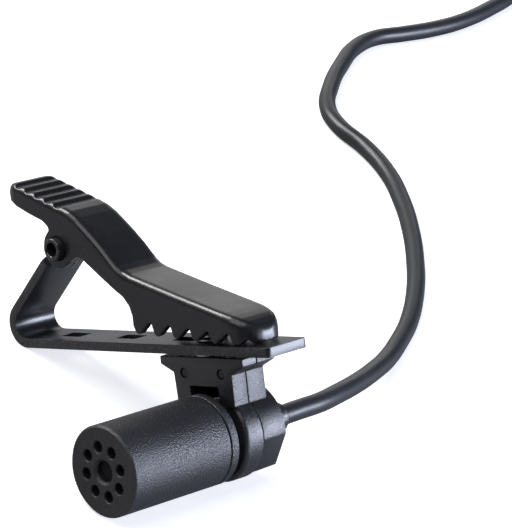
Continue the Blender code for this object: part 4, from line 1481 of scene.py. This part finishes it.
@dataclass
class TieClip:
    """The lower jaw with its sprung arm, the pivot, the spring and the swivel's rivet."""

    places: Places
    finishes: Finishes
    sheet: float = 1.0
    width: float = 5.64
    tip: float = 10.8
    tail: float = 28.63
    bend: float = 2.5
    arm_angle: float = 41.5
    arm_wide: float = 8.45
    arm_neck: float = 0.85
    ear_span: float = 4.6
    ear_sheet: float = 0.8
    ear_radius: float = 1.9
    pivot_radius: float = 1.2
    pivot_wall: float = 0.45
    pivot_length: float = 8.1
    slot_length: float = 3.2
    slot_width: float = 1.9
    slot_pitch: float = 8.75
    slot_count: int = 3
    first_slot: float = -21.15
    rivet_radius: float = 0.8
    spring_wire: float = 0.22
    spring_turns: int = 3
    spring_pitch: float = 0.52
    spring_points: int = 110

    def along_arm(self, distance: float, inward: float = 0.0) -> Point2:
        """A point on the arm's outer face, or that far inside it.

        Args:
            distance: How far up the arm from its foot.
            inward: How far inside the face.

        Returns:
            The point's x and z.
        """
        slope = math.radians(self.arm_angle)
        foot = arc(
            (-self.tail + self.bend, self.bend),
            self.bend,
            90 + self.arm_angle,
            90 + self.arm_angle,
            1,
        )[0]
        x = foot[0] + distance * math.cos(slope) + inward * math.sin(slope)
        return (x, foot[1] + distance * math.sin(slope) - inward * math.cos(slope))

    def sheet_stations(self) -> list[tuple[float, float, float]]:
        """(x, z, half width) of the sheet's outer face, from the tip to the arm's end.

        Returns:
            The stations.
        """
        half, corner = self.width / 2, 0.5
        rounds = [math.pi / 2 * i / 5 for i in range(6)]
        stations = [
            (self.tip - corner + corner * math.cos(a), 0.0, half - corner + corner * math.sin(a))
            for a in rounds
        ]
        bend = arc((-self.tail + self.bend, self.bend), self.bend, 270, 90 + self.arm_angle, 28)
        stations += [(x, z, half) for x, z in bend]
        narrow = self.ear_span / 2
        for distance, reach in (
            (self.arm_wide - 0.9, half), (self.arm_wide - 0.4, half - 0.06),
            (self.arm_wide, narrow + 0.22), (self.arm_wide + 0.3, narrow),
            (self.arm_wide + self.arm_neck, narrow),
        ):
            stations.append((*self.along_arm(distance), reach))
        return stations

    def make_lower_jaw(self) -> bpy.types.Object:
        """One sheet, bent up at the tail into the arm, with slots and two ears.

        Returns:
            The jaw.
        """
        stations = self.sheet_stations()
        x, z, half = stations[0]
        jaw = chain("clip_lower_jaw", [(x, -half, z), (x, half, z)], False)
        for (x0, z0, half0), (x1, z1, half1) in zip(stations, stations[1:]):
            bpy.ops.mesh.extrude_region_move(
                TRANSFORM_OT_translate={"value": (x1 - x0, 0, z1 - z0)}
            )
            bpy.ops.transform.resize(value=(1, half1 / half0, 1), center_override=(x1, 0, z1))
        turn_out()
        with editing(jaw):
            shape = bmesh.from_edit_mesh(jaw.data)
            flat = max(shape.faces, key=lambda face: face.calc_area())
            flat.normal_update()
            if flat.normal.z < 0:
                bpy.ops.mesh.select_all(action="SELECT")
                bpy.ops.mesh.flip_normals()
        finished(jaw, "SOLIDIFY", thickness=self.sheet, offset=1.0, use_even_offset=True)
        bevelled(jaw, 0.14, 3, 50)
        for i in range(self.slot_count):
            middle = self.first_slot + self.slot_pitch * i
            half_slot = self.slot_length / 2
            tool = block(
                "slot",
                (middle - half_slot, -self.slot_width / 2, -1),
                (middle + half_slot, self.slot_width / 2, self.sheet + 1),
            )
            with editing(tool, "EDGE") as shape:
                for edge in shape.edges:
                    edge.select_set(abs(edge.verts[0].co.z - edge.verts[1].co.z) > 1)
                bmesh.update_edit_mesh(tool.data)
                bpy.ops.mesh.bevel(offset=0.3, segments=5)
            join_by(jaw, tool)
        join_by(
            jaw, rod("rivet_hole", "Z", self.rivet_radius + 0.05, -1, self.sheet + 1, (0, 0), 64)
        )
        pivot = self.places.pivot
        start = self.along_arm(self.arm_wide + 0.3, 0.1)
        low = self.along_arm(self.arm_wide + 0.3, self.sheet + 0.6)
        end = self.along_arm(self.arm_wide + self.arm_neck, 0.1)
        ear = [start, low, *arc(pivot, self.ear_radius, 262, 470, 48), end]
        for side in (-1, 1):
            faces = sorted((side * self.ear_span / 2, side * (self.ear_span / 2 - self.ear_sheet)))
            join_by(jaw, bevelled(slab("ear", ear, faces[0], faces[1]), 0.1, 2, 40), "UNION")
        join_by(jaw, rod("pivot_bore", "Y", self.pivot_radius + 0.04, -5, 5, pivot, 72))
        return jaw

    def make_pivot(self) -> bpy.types.Object:
        """The hollow pivot pin with rolled rims.

        Returns:
            The pin.
        """
        half, bore = self.pivot_length / 2, self.pivot_radius - self.pivot_wall
        section = softened(
            [(bore, half), (self.pivot_radius, half), (self.pivot_radius, -half), (bore, -half)],
            0.2,
            5,
        )
        pin = turned("pivot_tube", section, 72, closed=True)
        place = Matrix.Translation(
            (self.places.pivot[0] * MM, 0, self.places.pivot[1] * MM)
        ) @ Matrix.Rotation(-math.pi / 2, 4, "X")
        return settle(pin, self.places.clip @ place, 40)

    def make_spring(self) -> bpy.types.Object:
        """The torsion spring: turns round the pivot, one leg to the arm and one to the lever.

        Returns:
            The spring.
        """
        x, z = self.places.pivot
        radius = self.pivot_radius + 0.05 + self.spring_wire + 0.05
        width = self.spring_turns * self.spring_pitch
        lower, upper = math.radians(180 + self.arm_angle), math.radians(52)
        start, end = lower + math.pi / 2, upper - math.pi / 2 + TAU * self.spring_turns
        points = []
        for i in range(self.spring_points + 1):
            share = i / self.spring_points
            angle = start + (end - start) * share
            points.append(
                Vector(
                    (
                        x + radius * math.cos(angle),
                        -width / 2 + width * share,
                        z + radius * math.sin(angle),
                    )
                )
            )
        first = points[0] + 2.0 * Vector((math.cos(lower), 0, math.sin(lower)))
        last = points[-1] + 2.3 * Vector((math.cos(upper), 0, math.sin(upper)))
        return settle(
            wire("wound_spring", [first, *points, last], self.spring_wire, 12), self.places.clip, 50
        )

    def make_rivet(self) -> bpy.types.Object:
        """The swivel's rivet, with a stepped, dished head and a spread foot.

        Returns:
            The rivet.
        """
        head, foot = self.sheet + 0.03, -3.0
        upper = softened(
            [
                (0.45, head + 0.58), (0.6, head + 0.7), (1.0, head + 0.7), (1.0, head + 0.35),
                (1.6, head + 0.35), (1.6, head), (0.8, head),
            ],
            0.12, 4, closed=False,
        )
        lower = softened(
            [(0.8, foot + 0.6), (1.3, foot + 0.6), (1.3, foot), (0.3, foot)], 0.1, 3, closed=False
        )
        rivet = turned(
            "swivel_pin", [(0, head + 0.5), (0.3, head + 0.5), *upper, *lower, (0, foot)], 64
        )
        return settle(rivet, self.places.clip, 40)

    def make_washer(self) -> bpy.types.Object:
        """The thin spring washer between the jaw and the bracket."""
        section = softened([(0.86, -0.37), (0.86, -0.03), (2.0, -0.03), (2.0, -0.37)], 0.08, 3)
        return settle(turned("friction_washer", section, 64, closed=True), self.places.clip, 40)

    def build(self) -> None:
        """Makes the clip's pieces."""
        clip, look = Body.CLIP, self.finishes
        jaw = dress(
            settle(self.make_lower_jaw(), self.places.clip, 35),
            look.coated,
            clip,
            ["lower_jaw"],
        )
        paint_where(
            jaw, look.sheared, lambda face: abs(face.normal.y) > 0.9
        )
        dress(self.make_pivot(), look.burnished, clip, ["pivot_pin"])
        dress(self.make_spring(), look.spring, clip, ["torsion_spring"])
        dress(self.make_rivet(), look.steel, clip, ["swivel_rivet"])
        dress(self.make_washer(), look.steel, clip, ["swivel_washer"])


@dataclass
class Lever:
    """The drawn lever: thumb pad behind the pivot, toothed upper jaw ahead of it."""

    places: Places
    finishes: Finishes
    width: float = 6.4
    sheet: float = 0.8
    edge: float = 0.9
    inner_edge: float = 0.5
    depth: float = 22
    nose: float = 8.3
    ear_radius: float = 2.15
    pivot_radius: float = 1.2
    pad_start: float = -26.05
    groove_count: int = 5
    groove_pitch: float = 1.47
    groove_radius: float = 0.75
    groove_depth: float = 0.26
    first_groove: float = -23.87
    tooth_count: int = 6
    tooth_pitch: float = 2.82
    first_tooth: float = -7.6
    tooth_depth: float = 1.3
    bite_start: float = 2.0
    bite_end: float = 1.15
    voxel: float = 0.105
    relax: int = 7

    def top_line(self) -> list[tuple[float, float, float]]:
        """(x, top, half width) along the lever, from the end of the pad to the nose.

        Returns:
            The stations.
        """
        half = self.width / 2
        pad = [
            (self.pad_start, 16.7, half - 1.1),
            (self.pad_start + 0.25, 17.5, half - 0.65),
            (self.pad_start + 0.75, 17.95, half - 0.25),
            (self.pad_start + 1.5, 17.9, half - 0.05),
            (-21.0, 16.6, half),
            (-17.6, 15.35, half),
        ]
        slope = [
            (-16.4, 14.85, half), (-15.3, 14.15, half), (-14.1, 13.15, half), (-12.9, 12.1, half),
            (
                -11.7, 10.95, half
            ), (-10.7, 9.85, half), (-10.0, 9.1, half), (-9.3, 8.6, half), (-8.4, 8.2, half),
        ]
        jaw = [
            (-2.0, 6.35, half),
            (5.0, 4.4, half),
            (6.0, 4.07, half - 0.12),
            (6.8, 3.76, half - 0.42),
            (7.4, 3.43, half - 0.85),
            (7.85, 3.06, half - 1.35),
            (self.nose - 0.17, 2.68, half - 1.85),
            (self.nose - 0.04, 2.33, half - 2.3),
            (self.nose, 1.98, half - 2.7),
        ]
        return pad + slope + jaw

    def section(self, edge: float, depth: float) -> list[Point2]:
        """A deep section with round top corners, for a half width of 1.

        Args:
            edge: The corners' radius.
            depth: How far down the sides reach.

        Returns:
            The section's points.
        """
        half = self.width / 2
        left = [(y / half, z) for y, z in arc((-half + edge, -edge), edge, 180, 90, 8)]
        right = [(y / half, z) for y, z in arc((half - edge, -edge), edge, 90, 0, 8)]
        return [(-1.0, -depth), *left, *right, (1.0, -depth)]

    def cavity_line(self) -> list[tuple[float, float, float]]:
        """The top line lowered by the sheet and drawn in from the sides.

        Returns:
            The stations.
        """
        line = self.top_line()
        inside = []
        for before, here, after in zip(line[2:], line[3:], line[4:]):
            x, top, half = here
            if x > self.nose - self.sheet:
                break
            slope = math.atan2(after[1] - before[1], after[0] - before[0])
            inside.append((x, top - self.sheet / math.cos(slope), half - self.sheet))
        return inside

    def teeth(self) -> list[Point2]:
        """The biting edge: rounded teeth between sharp valleys.

        Returns:
            The points, from the tail's side to the nose.
        """
        points: list[Point2] = []
        run = self.tooth_pitch * (self.tooth_count - 1)
        for i in range(self.tooth_count):
            middle = self.first_tooth + self.tooth_pitch * i
            tip = self.bite_start + (
                self.bite_end - self.bite_start
            ) * (middle - self.first_tooth) / run
            points += [
                (middle - 0.42, tip + 0.3), (middle - 0.2, tip + 0.06), (middle + 0.1, tip),
                (middle + 0.4, tip + 0.14),
            ]
            if i < self.tooth_count - 1:
                valley = tip + self.tooth_depth * (1 - 0.06 * i)
                points += [
                    (middle + self.tooth_pitch * 0.64, valley),
                    (middle + self.tooth_pitch * 0.74, valley - 0.02),
                ]
        return points

    def lower_line(self) -> list[Point2]:
        """The outline of everything below the lever's flanges."""
        nose_start = self.first_tooth + self.tooth_pitch * (self.tooth_count - 1) + 0.9
        return [
            (
                self.pad_start - 2, 17.2
            ), (
                self.pad_start, 16.45
            ), (-24.3, 15.5), (-22.5, 14.7), (-20.5, 13.95), (-19.75, 13.35),
            *arc(self.places.pivot, self.ear_radius, 118, 318, 40),
            (-15.7, 10.1), (-14.9, 9.85), (-12.8, 8.3), (-10.7, 6.8), (-9.3, 5.9),
            (-8.55, 5.0), (-8.25, 4.0), (-8.3, 3.0),
            *self.teeth(),
            (nose_start, self.bite_end + 0.55), (nose_start + 0.5, self.bite_end),
            (self.nose + 2, self.bite_end), (self.nose + 2, -25), (self.pad_start - 2, -25),
        ]

    def make_lever(self) -> bpy.types.Object:
        """The lever: drawn, hollowed, trimmed to its toothed edge, grooved and softened.

        Returns:
            The lever.
        """
        line = self.top_line()
        lever = drawn("sprung_lever", self.section(self.edge, self.depth), line)
        tools = [
            drawn("hollow", self.section(self.inner_edge, self.depth), self.cavity_line()),
            slab("trim", self.lower_line(), -self.width, self.width),
            rod(
                "pivot_bore",
                "Y",
                self.pivot_radius + 0.07,
                -self.width,
                self.width,
                self.places.pivot,
                72,
            ),
        ]
        start, end = line[3], line[5]
        slope = (end[1] - start[1]) / (end[0] - start[0])
        for i in range(self.groove_count):
            x = self.first_groove + self.groove_pitch * i
            height = start[1] + (x - start[0]) * slope - self.groove_depth + self.groove_radius
            tools.append(
                rod(
                    f"groove_{i}", "Y", self.groove_radius, -self.width, self.width, (x, height), 48
                )
            )
        for tool in tools:
            join_by(lever, tool)
        return relaxed(lever, self.voxel, self.relax)

    def build(self) -> None:
        """Makes the lever."""
        lever = settle(self.make_lever(), self.places.clip, 180)
        dress(lever, self.finishes.coated, Body.LEVER, ["upper_jaw"])


@dataclass
class CableRun:
    """The cable as one length: over the surface, into its coil and on to the plug."""

    places: Places
    finishes: Finishes
    diameter: float = 2.2
    declared: float = 1.2
    coil_centre: Point2 = (-61.0, 178.0)
    columns: tuple[float, ...] = (15.2, 13.0, 10.8)
    rows: int = 4
    last_turn: float = 0.25
    per_turn: int = 20
    crossing: float = 0.16
    exit_y: float = 25.02
    rest_height: float = 4.85
    route: tuple[Point3, ...] = (
        (
            -0.1, 28.0, 4.83
        ), (-0.3, 31.3, 4.7), (-1.3, 35.3, 4.2), (-2.9, 40.0, 3.3), (-5.1, 45.4, 2.2),
        (
            -7.3, 50.4, 1.45
        ), (-9.9, 55.3, 1.15), (-12.5, 59.6, 1.1), (-17.3, 65.8, 1.1), (-22.8, 71.6, 1.1),
        (
            -28.6, 76.9, 1.1
        ), (-34.7, 81.6, 1.1), (-40.9, 85.4, 1.1), (-47.0, 87.6, 1.1), (-52.6, 88.5, 1.1),
        (-56.8, 90.6, 1.1), (-62.1, 96.5, 1.1), (
            -66.2, 102.6, 1.1
        ), (-69.4, 108.4, 1.1), (-70.8, 113.8, 1.1),
        (
            -70.4, 119.4, 1.1
        ), (-70.1, 125.0, 1.1), (-70.6, 132.0, 1.1), (-72.9, 142.0, 1.1), (-75.6, 151.0, 1.1),
        (-76.6, 160.0, 1.1), (-76.3, 168.8, 1.1),
    )
    lead: tuple[Point3, ...] = (
        (-52.0, 193.1, 7.7), (-46.0, 192.9, 7.1), (-40.0, 192.3, 5.6), (
            -35.5, 191.55, 4.3
        ), (-31.3, 190.57, 3.9),
    )
    into_boot: Point3 = (-30.3, 190.33, 3.9)

    def coil(self) -> list[Point3]:
        """The coil's turns: in and out in layers, a diameter apart, clockwise from its left.

        Returns:
            The points of its axis.
        """
        order: list[tuple[float, float]] = []
        for row in range(self.rows):
            columns = self.columns if row % 2 == 0 else self.columns[::-1]
            order += [(radius, self.diameter * (row + 0.5)) for radius in columns]
        order.append(order[-1])
        turns = len(order) - 1 + self.last_turn
        count = round(turns * self.per_turn)
        points: list[Point3] = []
        for i in range(count + 1):
            turn = turns * i / count
            whole = min(int(turn), len(order) - 1)
            share = max(0.0, (turn - whole - 1 + self.crossing) / self.crossing)
            share = share * share * (3 - 2 * share)
            here, after = order[whole], order[min(whole + 1, len(order) - 1)]
            radius = here[0] + (after[0] - here[0]) * share
            height = here[1] + (after[1] - here[1]) * share
            angle = math.pi - TAU * turn
            points.append(
                (
                    self.coil_centre[0] + radius * math.cos(angle),
                    self.coil_centre[1] + radius * math.sin(angle),
                    height,
                )
            )
        return points

    def line(self) -> list[Point3]:
        """Every point of the cable's axis, from inside the collar to inside the boot.

        Returns:
            The points.
        """
        inside = (0.0, self.exit_y - 1.6, self.rest_height)
        mouth = (0.0, self.exit_y, self.rest_height)
        return [inside, mouth, *self.route, *self.coil(), *self.lead, self.into_boot]

    def make_cable(self) -> bpy.types.Object:
        """The cable, one open curve.

        Returns:
            The cable.
        """
        put_down()
        data = bpy.data.curves.new("signal_cable", "CURVE")
        data.dimensions = "3D"
        data.bevel_depth = self.diameter / 2 * MM
        data.bevel_resolution = 8
        data.resolution_u = 8
        data.use_fill_caps = True
        points = self.line()
        spline = data.splines.new("BEZIER")
        spline.bezier_points.add(len(points) - 1)
        for target, point in zip(spline.bezier_points, points):
            target.co = self.places.stand @ (Vector(point) * MM)
            target.handle_left_type = target.handle_right_type = "AUTO"
        cable = bpy.data.objects.new("signal_cable", data)
        bpy.context.scene.collection.objects.link(cable)
        bpy.context.view_layer.update()
        return cable

    def make_tie(self) -> bpy.types.Object:
        """The hook-and-loop strap round the bundle of turns, with its overlapping end.

        Returns:
            The strap.
        """
        half, top, wall = 3.7, 9.15, 0.5
        inner = softened(
            [(-half, 0.02), (-half, top), (half, top), (half, 0.02)], 0.9, 6, closed=False
        )
        grown = half + wall
        outer = softened(
            [(grown, 0.02), (grown, top + wall), (-grown, top + wall), (-grown, 0.02)],
            1.2,
            6,
            closed=False,
        )
        tie = slab("coil_strap", [*inner, *outer], -1.7, 1.7)
        tab = slab(
            "strap_end",
            softened(
                [
                    (-1.6, top + wall - 0.1), (3.2, top + wall - 0.1), (3.5, top + wall + 0.35),
                    (-1.6, top + wall + 0.4),
                ],
                0.15,
            ),
            -1.7,
            1.7,
        )
        join_by(bevelled(tie, 0.12, 2, 50), bevelled(tab, 0.1, 2, 50), "UNION")
        turn = math.radians(20)
        reach = self.columns[1]
        place = Matrix.Translation(
            (
                (self.coil_centre[0] + reach * math.cos(turn)) * MM,
                (self.coil_centre[1] + reach * math.sin(turn)) * MM,
                0,
            )
        ) @ Matrix.Rotation(turn, 4, "Z")
        return settle(tie, self.places.stand @ place, 40)

    def build(self, plug_pieces: Sequence[bpy.types.Object]) -> None:
        """Args:
            plug_pieces: The pieces of the plug on its end; not used.
        """
        cable = self.make_cable()
        dress(
            cable,
            self.finishes.jacket,
            Body.MICROPHONE,
            ["cable", "cable_end", "cable_coil"],
        )
        tie = dress(
            self.make_tie(), self.finishes.strap, Body.MICROPHONE, ["cable_tie"]
        )


@dataclass
class JackPlug:
    """A 3.5 mm jack plug: boot, barrel and contacts. Z runs from the boot to the tip."""

    places: Places
    finishes: Finishes
    start: Point3 = (-31.0, 190.5, 3.9)
    heading: float = -14.0
    boot_length: float = 10.0
    boot_thin: float = 1.7
    boot_thick: float = 2.6
    barrel_radius: float = 3.8
    barrel_length: float = 14.5
    contact_radius: float = 1.75
    sleeve_length: float = 6.2
    insulator_length: float = 0.9
    ring_length: float = 1.8
    tip_length: float = 3.6
    gap: float = 0.03

    def place(self) -> Matrix:
        """The plug's frame, on the surface.

        Returns:
            The frame, its z axis along the plug.
        """
        spot = Matrix.Translation(Vector(self.start) * MM)
        level = self.places.stand @ spot @ Matrix.Rotation(math.radians(self.heading), 4, "Z")
        return level @ Matrix.Rotation(math.pi / 2, 4, "Y")

    def make_boot(self) -> bpy.types.Object:
        """The flexible boot, ribbed towards the cable.

        Returns:
            The boot.
        """
        bore = 1.14
        outside: list[Point2] = []
        ribs = 5
        for i in range(ribs):
            foot = 0.25 + 1.45 * i
            thick = self.boot_thin + (self.boot_thick - self.boot_thin) * foot / self.boot_length
            outside += [
                (thick, foot), (thick + 0.1, foot + 0.85), (thick - 0.3, foot + 0.95),
                (thick - 0.3, foot + 1.35),
            ]
        outside += [(self.boot_thick, self.boot_length - 1.5), (self.boot_thick, self.boot_length)]
        section = [
            (bore, 0.1), (bore + 0.15, 0.0), *softened(outside, 0.12, 3, closed=False),
            (bore, self.boot_length),
        ]
        return turned("jack_boot", section, 64, closed=True)

    def make_barrel(self) -> bpy.types.Object:
        """The barrel, with a knurled band between two turned grooves.

        Returns:
            The barrel.
        """
        low = self.boot_length + self.gap
        high = low + self.barrel_length
        r, groove = self.barrel_radius, 0.16
        outside = softened(
            [
                (1.2, low), (r, low), (r, low + 2.2), (
                    r - groove, low + 2.3
                ), (r - groove, low + 2.6), (r, low + 2.7),
                (r, low + 8.3), (
                    r - groove, low + 8.4
                ), (r - groove, low + 8.7), (r, low + 8.8), (r, high), (1.2, high),
            ],
            0.3, 4, closed=False,
        )
        sides = 144
        barrel = turned("jack_barrel", [(0, low), *outside, (0, high)], sides)
        with editing(barrel) as shape:
            band = select_faces(
                barrel,
                shape,
                lambda face: low + 2.75 < face.calc_center_median().z < low + 8.25
                and int(
                    (
                        math.atan2(face.calc_center_median().y, face.calc_center_median().x) % TAU
                    ) / TAU * sides / 2
                ) % 2 == 0
                and face.normal.z**2 < 0.1,
            )
            log.info("jack_barrel: %d knurled faces", band)
            bpy.ops.mesh.extrude_region_move()
            bpy.ops.transform.resize(value=(0.972, 0.972, 1), center_override=(0, 0, low))
        return barrel

    def make_contacts(self) -> list[tuple[bpy.types.Object, bpy.types.Material, str, str]]:
        """Sleeve, insulating rings, ring contact and tip, in order along the plug.

        Returns:
            Each contact with its material, its slot and the node that it stands for.
        """
        look = self.finishes
        station = self.boot_length + self.barrel_length + 2 * self.gap
        start = station
        made = []
        collars = (
            (
                "jack_sleeve",
                self.sleeve_length,
                self.contact_radius,
                look.nickel,
                "nickel",
                "plug_sleeve",
            ),
            (
                "jack_insulator_rear",
                self.insulator_length,
                self.contact_radius - 0.05,
                look.collar,
                "plug_insulator",
                "plug_rear_insulator",
            ),
            (
                "jack_ring",
                self.ring_length,
                self.contact_radius,
                look.nickel,
                "nickel",
                "plug_ring_contact",
            ),
            (
                "jack_insulator_front",
                self.insulator_length,
                self.contact_radius - 0.05,
                look.collar,
                "plug_insulator",
                "plug_front_insulator",
            ),
        )
        for name, length, radius, finish, slot, node in collars:
            section = softened(
                [
                    (0.65, station), (radius, station), (radius, station + length),
                    (0.65, station + length),
                ],
                0.06,
                3,
            )
            made.append((turned(name, section, 72, closed=True), finish, slot, node))
            station += length + self.gap
        end = station + self.tip_length
        r = self.contact_radius
        nose = softened(
            [
                (0.4, end), (r, end - 1.5), (r, end - 1.9), (r - 0.5, end - 2.7), (r, station),
                (0.6, station),
            ],
            0.25,
            5,
            closed=False,
        )
        made.append(
            (
                turned("jack_tip", [(0, end), *nose, (0.6, start), (0, start)], 72),
                look.nickel,
                "nickel",
                "plug_tip",
            )
        )
        return made

    def build(self) -> list[bpy.types.Object]:
        """Makes the plug.

        Returns:
            Its pieces.
        """
        root, look = Body.MICROPHONE, self.finishes
        boot = dress(
            settle(self.make_boot(), self.place(), 40),
            look.moulded,
            root,
            ["plug_boot"],
        )
        barrel = dress(
            settle(self.make_barrel(), self.place(), 30),
            look.anodised,
            root,
            ["plug_barrel"],
        )
        pieces = [boot, barrel]
        for piece, finish, slot, node in self.make_contacts():
            pieces.append(dress(settle(piece, self.place(), 30), finish, root, [node]))
        return pieces


# ---------------------------------------------------------------------------------------
# Stage.
# ---------------------------------------------------------------------------------------


@dataclass
class Studio:
    """The camera, the pale floor and soft studio lights."""

    places: Places
    eye: Point3 = (175.57, -197.49, 168.03)
    azimuth: float = 39.54
    elevation: float = 27.34
    roll: float = 14.1
    lens: float = 219.96
    sensor: float = 36.0
    floor_colour: Colour = (0.92, 0.92, 0.92)
    bounce_colour: Colour = (0.36, 0.36, 0.37)
    floor_glow: float = 0.55

    def set_camera(self) -> None:
        """Stands the camera in front, to the right and above."""
        data = bpy.data.cameras.new("studio_camera")
        data.lens = self.lens
        data.sensor_fit = "HORIZONTAL"
        data.sensor_width = self.sensor
        data.clip_start = 0.01
        data.clip_end = 20.0
        camera = bpy.data.objects.new("studio_camera", data)
        bpy.context.scene.collection.objects.link(camera)
        spot = Matrix.Translation(self.places.stand @ (Vector(self.eye) * MM))
        heading = Matrix.Rotation(math.radians(self.azimuth), 4, "Z")
        pitch = Matrix.Rotation(math.radians(90 - self.elevation), 4, "X")
        camera.matrix_world = spot @ heading @ pitch @ Matrix.Rotation(
            math.radians(self.roll), 4, "Z"
        )
        bpy.context.scene.camera = camera

    def add_light(
        self, name: str, away: Point3, distance: float, size: Point2, power: float, colour: Colour
    ) -> None:
        """Adds one soft rectangular light that faces the clip.

        Args:
            name: Its name.
            away: The direction in which it stands from the object.
            distance: How far, in metres.
            size: Its width and height in metres.
            power: Its power in watts.
            colour: Its colour.
        """
        data = bpy.data.lights.new(name, "AREA")
        data.shape = "RECTANGLE"
        data.size, data.size_y = size
        data.energy = power
        data.color = colour
        light = bpy.data.objects.new(name, data)
        bpy.context.scene.collection.objects.link(light)
        aim = Vector((0.0, 0.0, 0.01))
        direction = Vector(away).normalized()
        light.location = aim + direction * distance
        light.rotation_euler = direction.to_track_quat("Z", "Y").to_euler()

    def set_floor(self) -> None:
        """Lays the plain floor."""
        put_down()
        bpy.ops.mesh.primitive_plane_add(size=8.0, location=(0, 0, -0.00002))
        floor = bpy.context.object
        floor.name = "studio_floor"
        material = bpy.data.materials.new("pale_floor")
        material.use_nodes = True
        shader = material.node_tree.nodes["Principled BSDF"]
        shader.inputs["Roughness"].default_value = 0.9
        shader.inputs["Specular IOR Level"].default_value = 0.1
        graph = Graph(material.node_tree)
        seen = graph.add("ShaderNodeLightPath").outputs["Is Camera Ray"]
        graph.link(
            graph.blend(self.bounce_colour, self.floor_colour, seen), shader.inputs["Base Color"]
        )
        shader.inputs["Emission Color"].default_value = (1, 1, 1, 1)
        graph.link(
            graph.maths("MULTIPLY", seen, self.floor_glow), shader.inputs["Emission Strength"]
        )
        floor.data.materials.append(material)

    def set_lights(self) -> None:
        """Hangs the softboxes and sets the room's own light."""
        cool, plain = (0.76, 0.82, 1.0), (1.0, 0.99, 0.98)
        self.add_light("softbox_back", (0.68, 0.69, 0.26), 0.7, (0.34, 0.24), 5.2, cool)
        self.add_light("softbox_right", (0.96, 0.24, 0.12), 0.6, (0.3, 0.22), 2.0, cool)
        self.add_light("softbox_left", (-0.7, 0.69, 0.2), 0.7, (0.5, 0.28), 0.5, plain)
        self.add_light("strip_left", (-0.79, -0.1, 0.56), 0.7, (0.18, 0.45), 4.2, plain)
        self.add_light("front_fill", (-0.1, -0.6, 1.0), 1.2, (1.0, 1.0), 6.5, plain)
        world = bpy.data.worlds.new("studio_room")
        world.use_nodes = True
        backdrop = world.node_tree.nodes["Background"]
        backdrop.inputs["Color"].default_value = (0.86, 0.9, 1.0, 1)
        backdrop.inputs["Strength"].default_value = 0.06
        bpy.context.scene.world = world
        bpy.context.scene.view_settings.view_transform = "Standard"


def main() -> None:
    """Builds the scene: camera and cable first, then each sub-assembly."""
    logging.basicConfig(level=logging.INFO, format="%(name)s: %(message)s")
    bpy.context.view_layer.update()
    places = Places()
    studio = Studio(places)
    studio.set_camera()
    effects = Effects()
    finishes = Finishes(effects)
    plug_pieces = JackPlug(places, finishes).build()
    CableRun(places, finishes).build(plug_pieces)
    MicrophoneCapsule(places, finishes).build()
    Holder(places, finishes).build()
    TieClip(places, finishes).build()
    Lever(places, finishes).build()
    studio.set_floor()
    studio.set_lights()
    put_down()


if __name__ == "__main__":
    main()
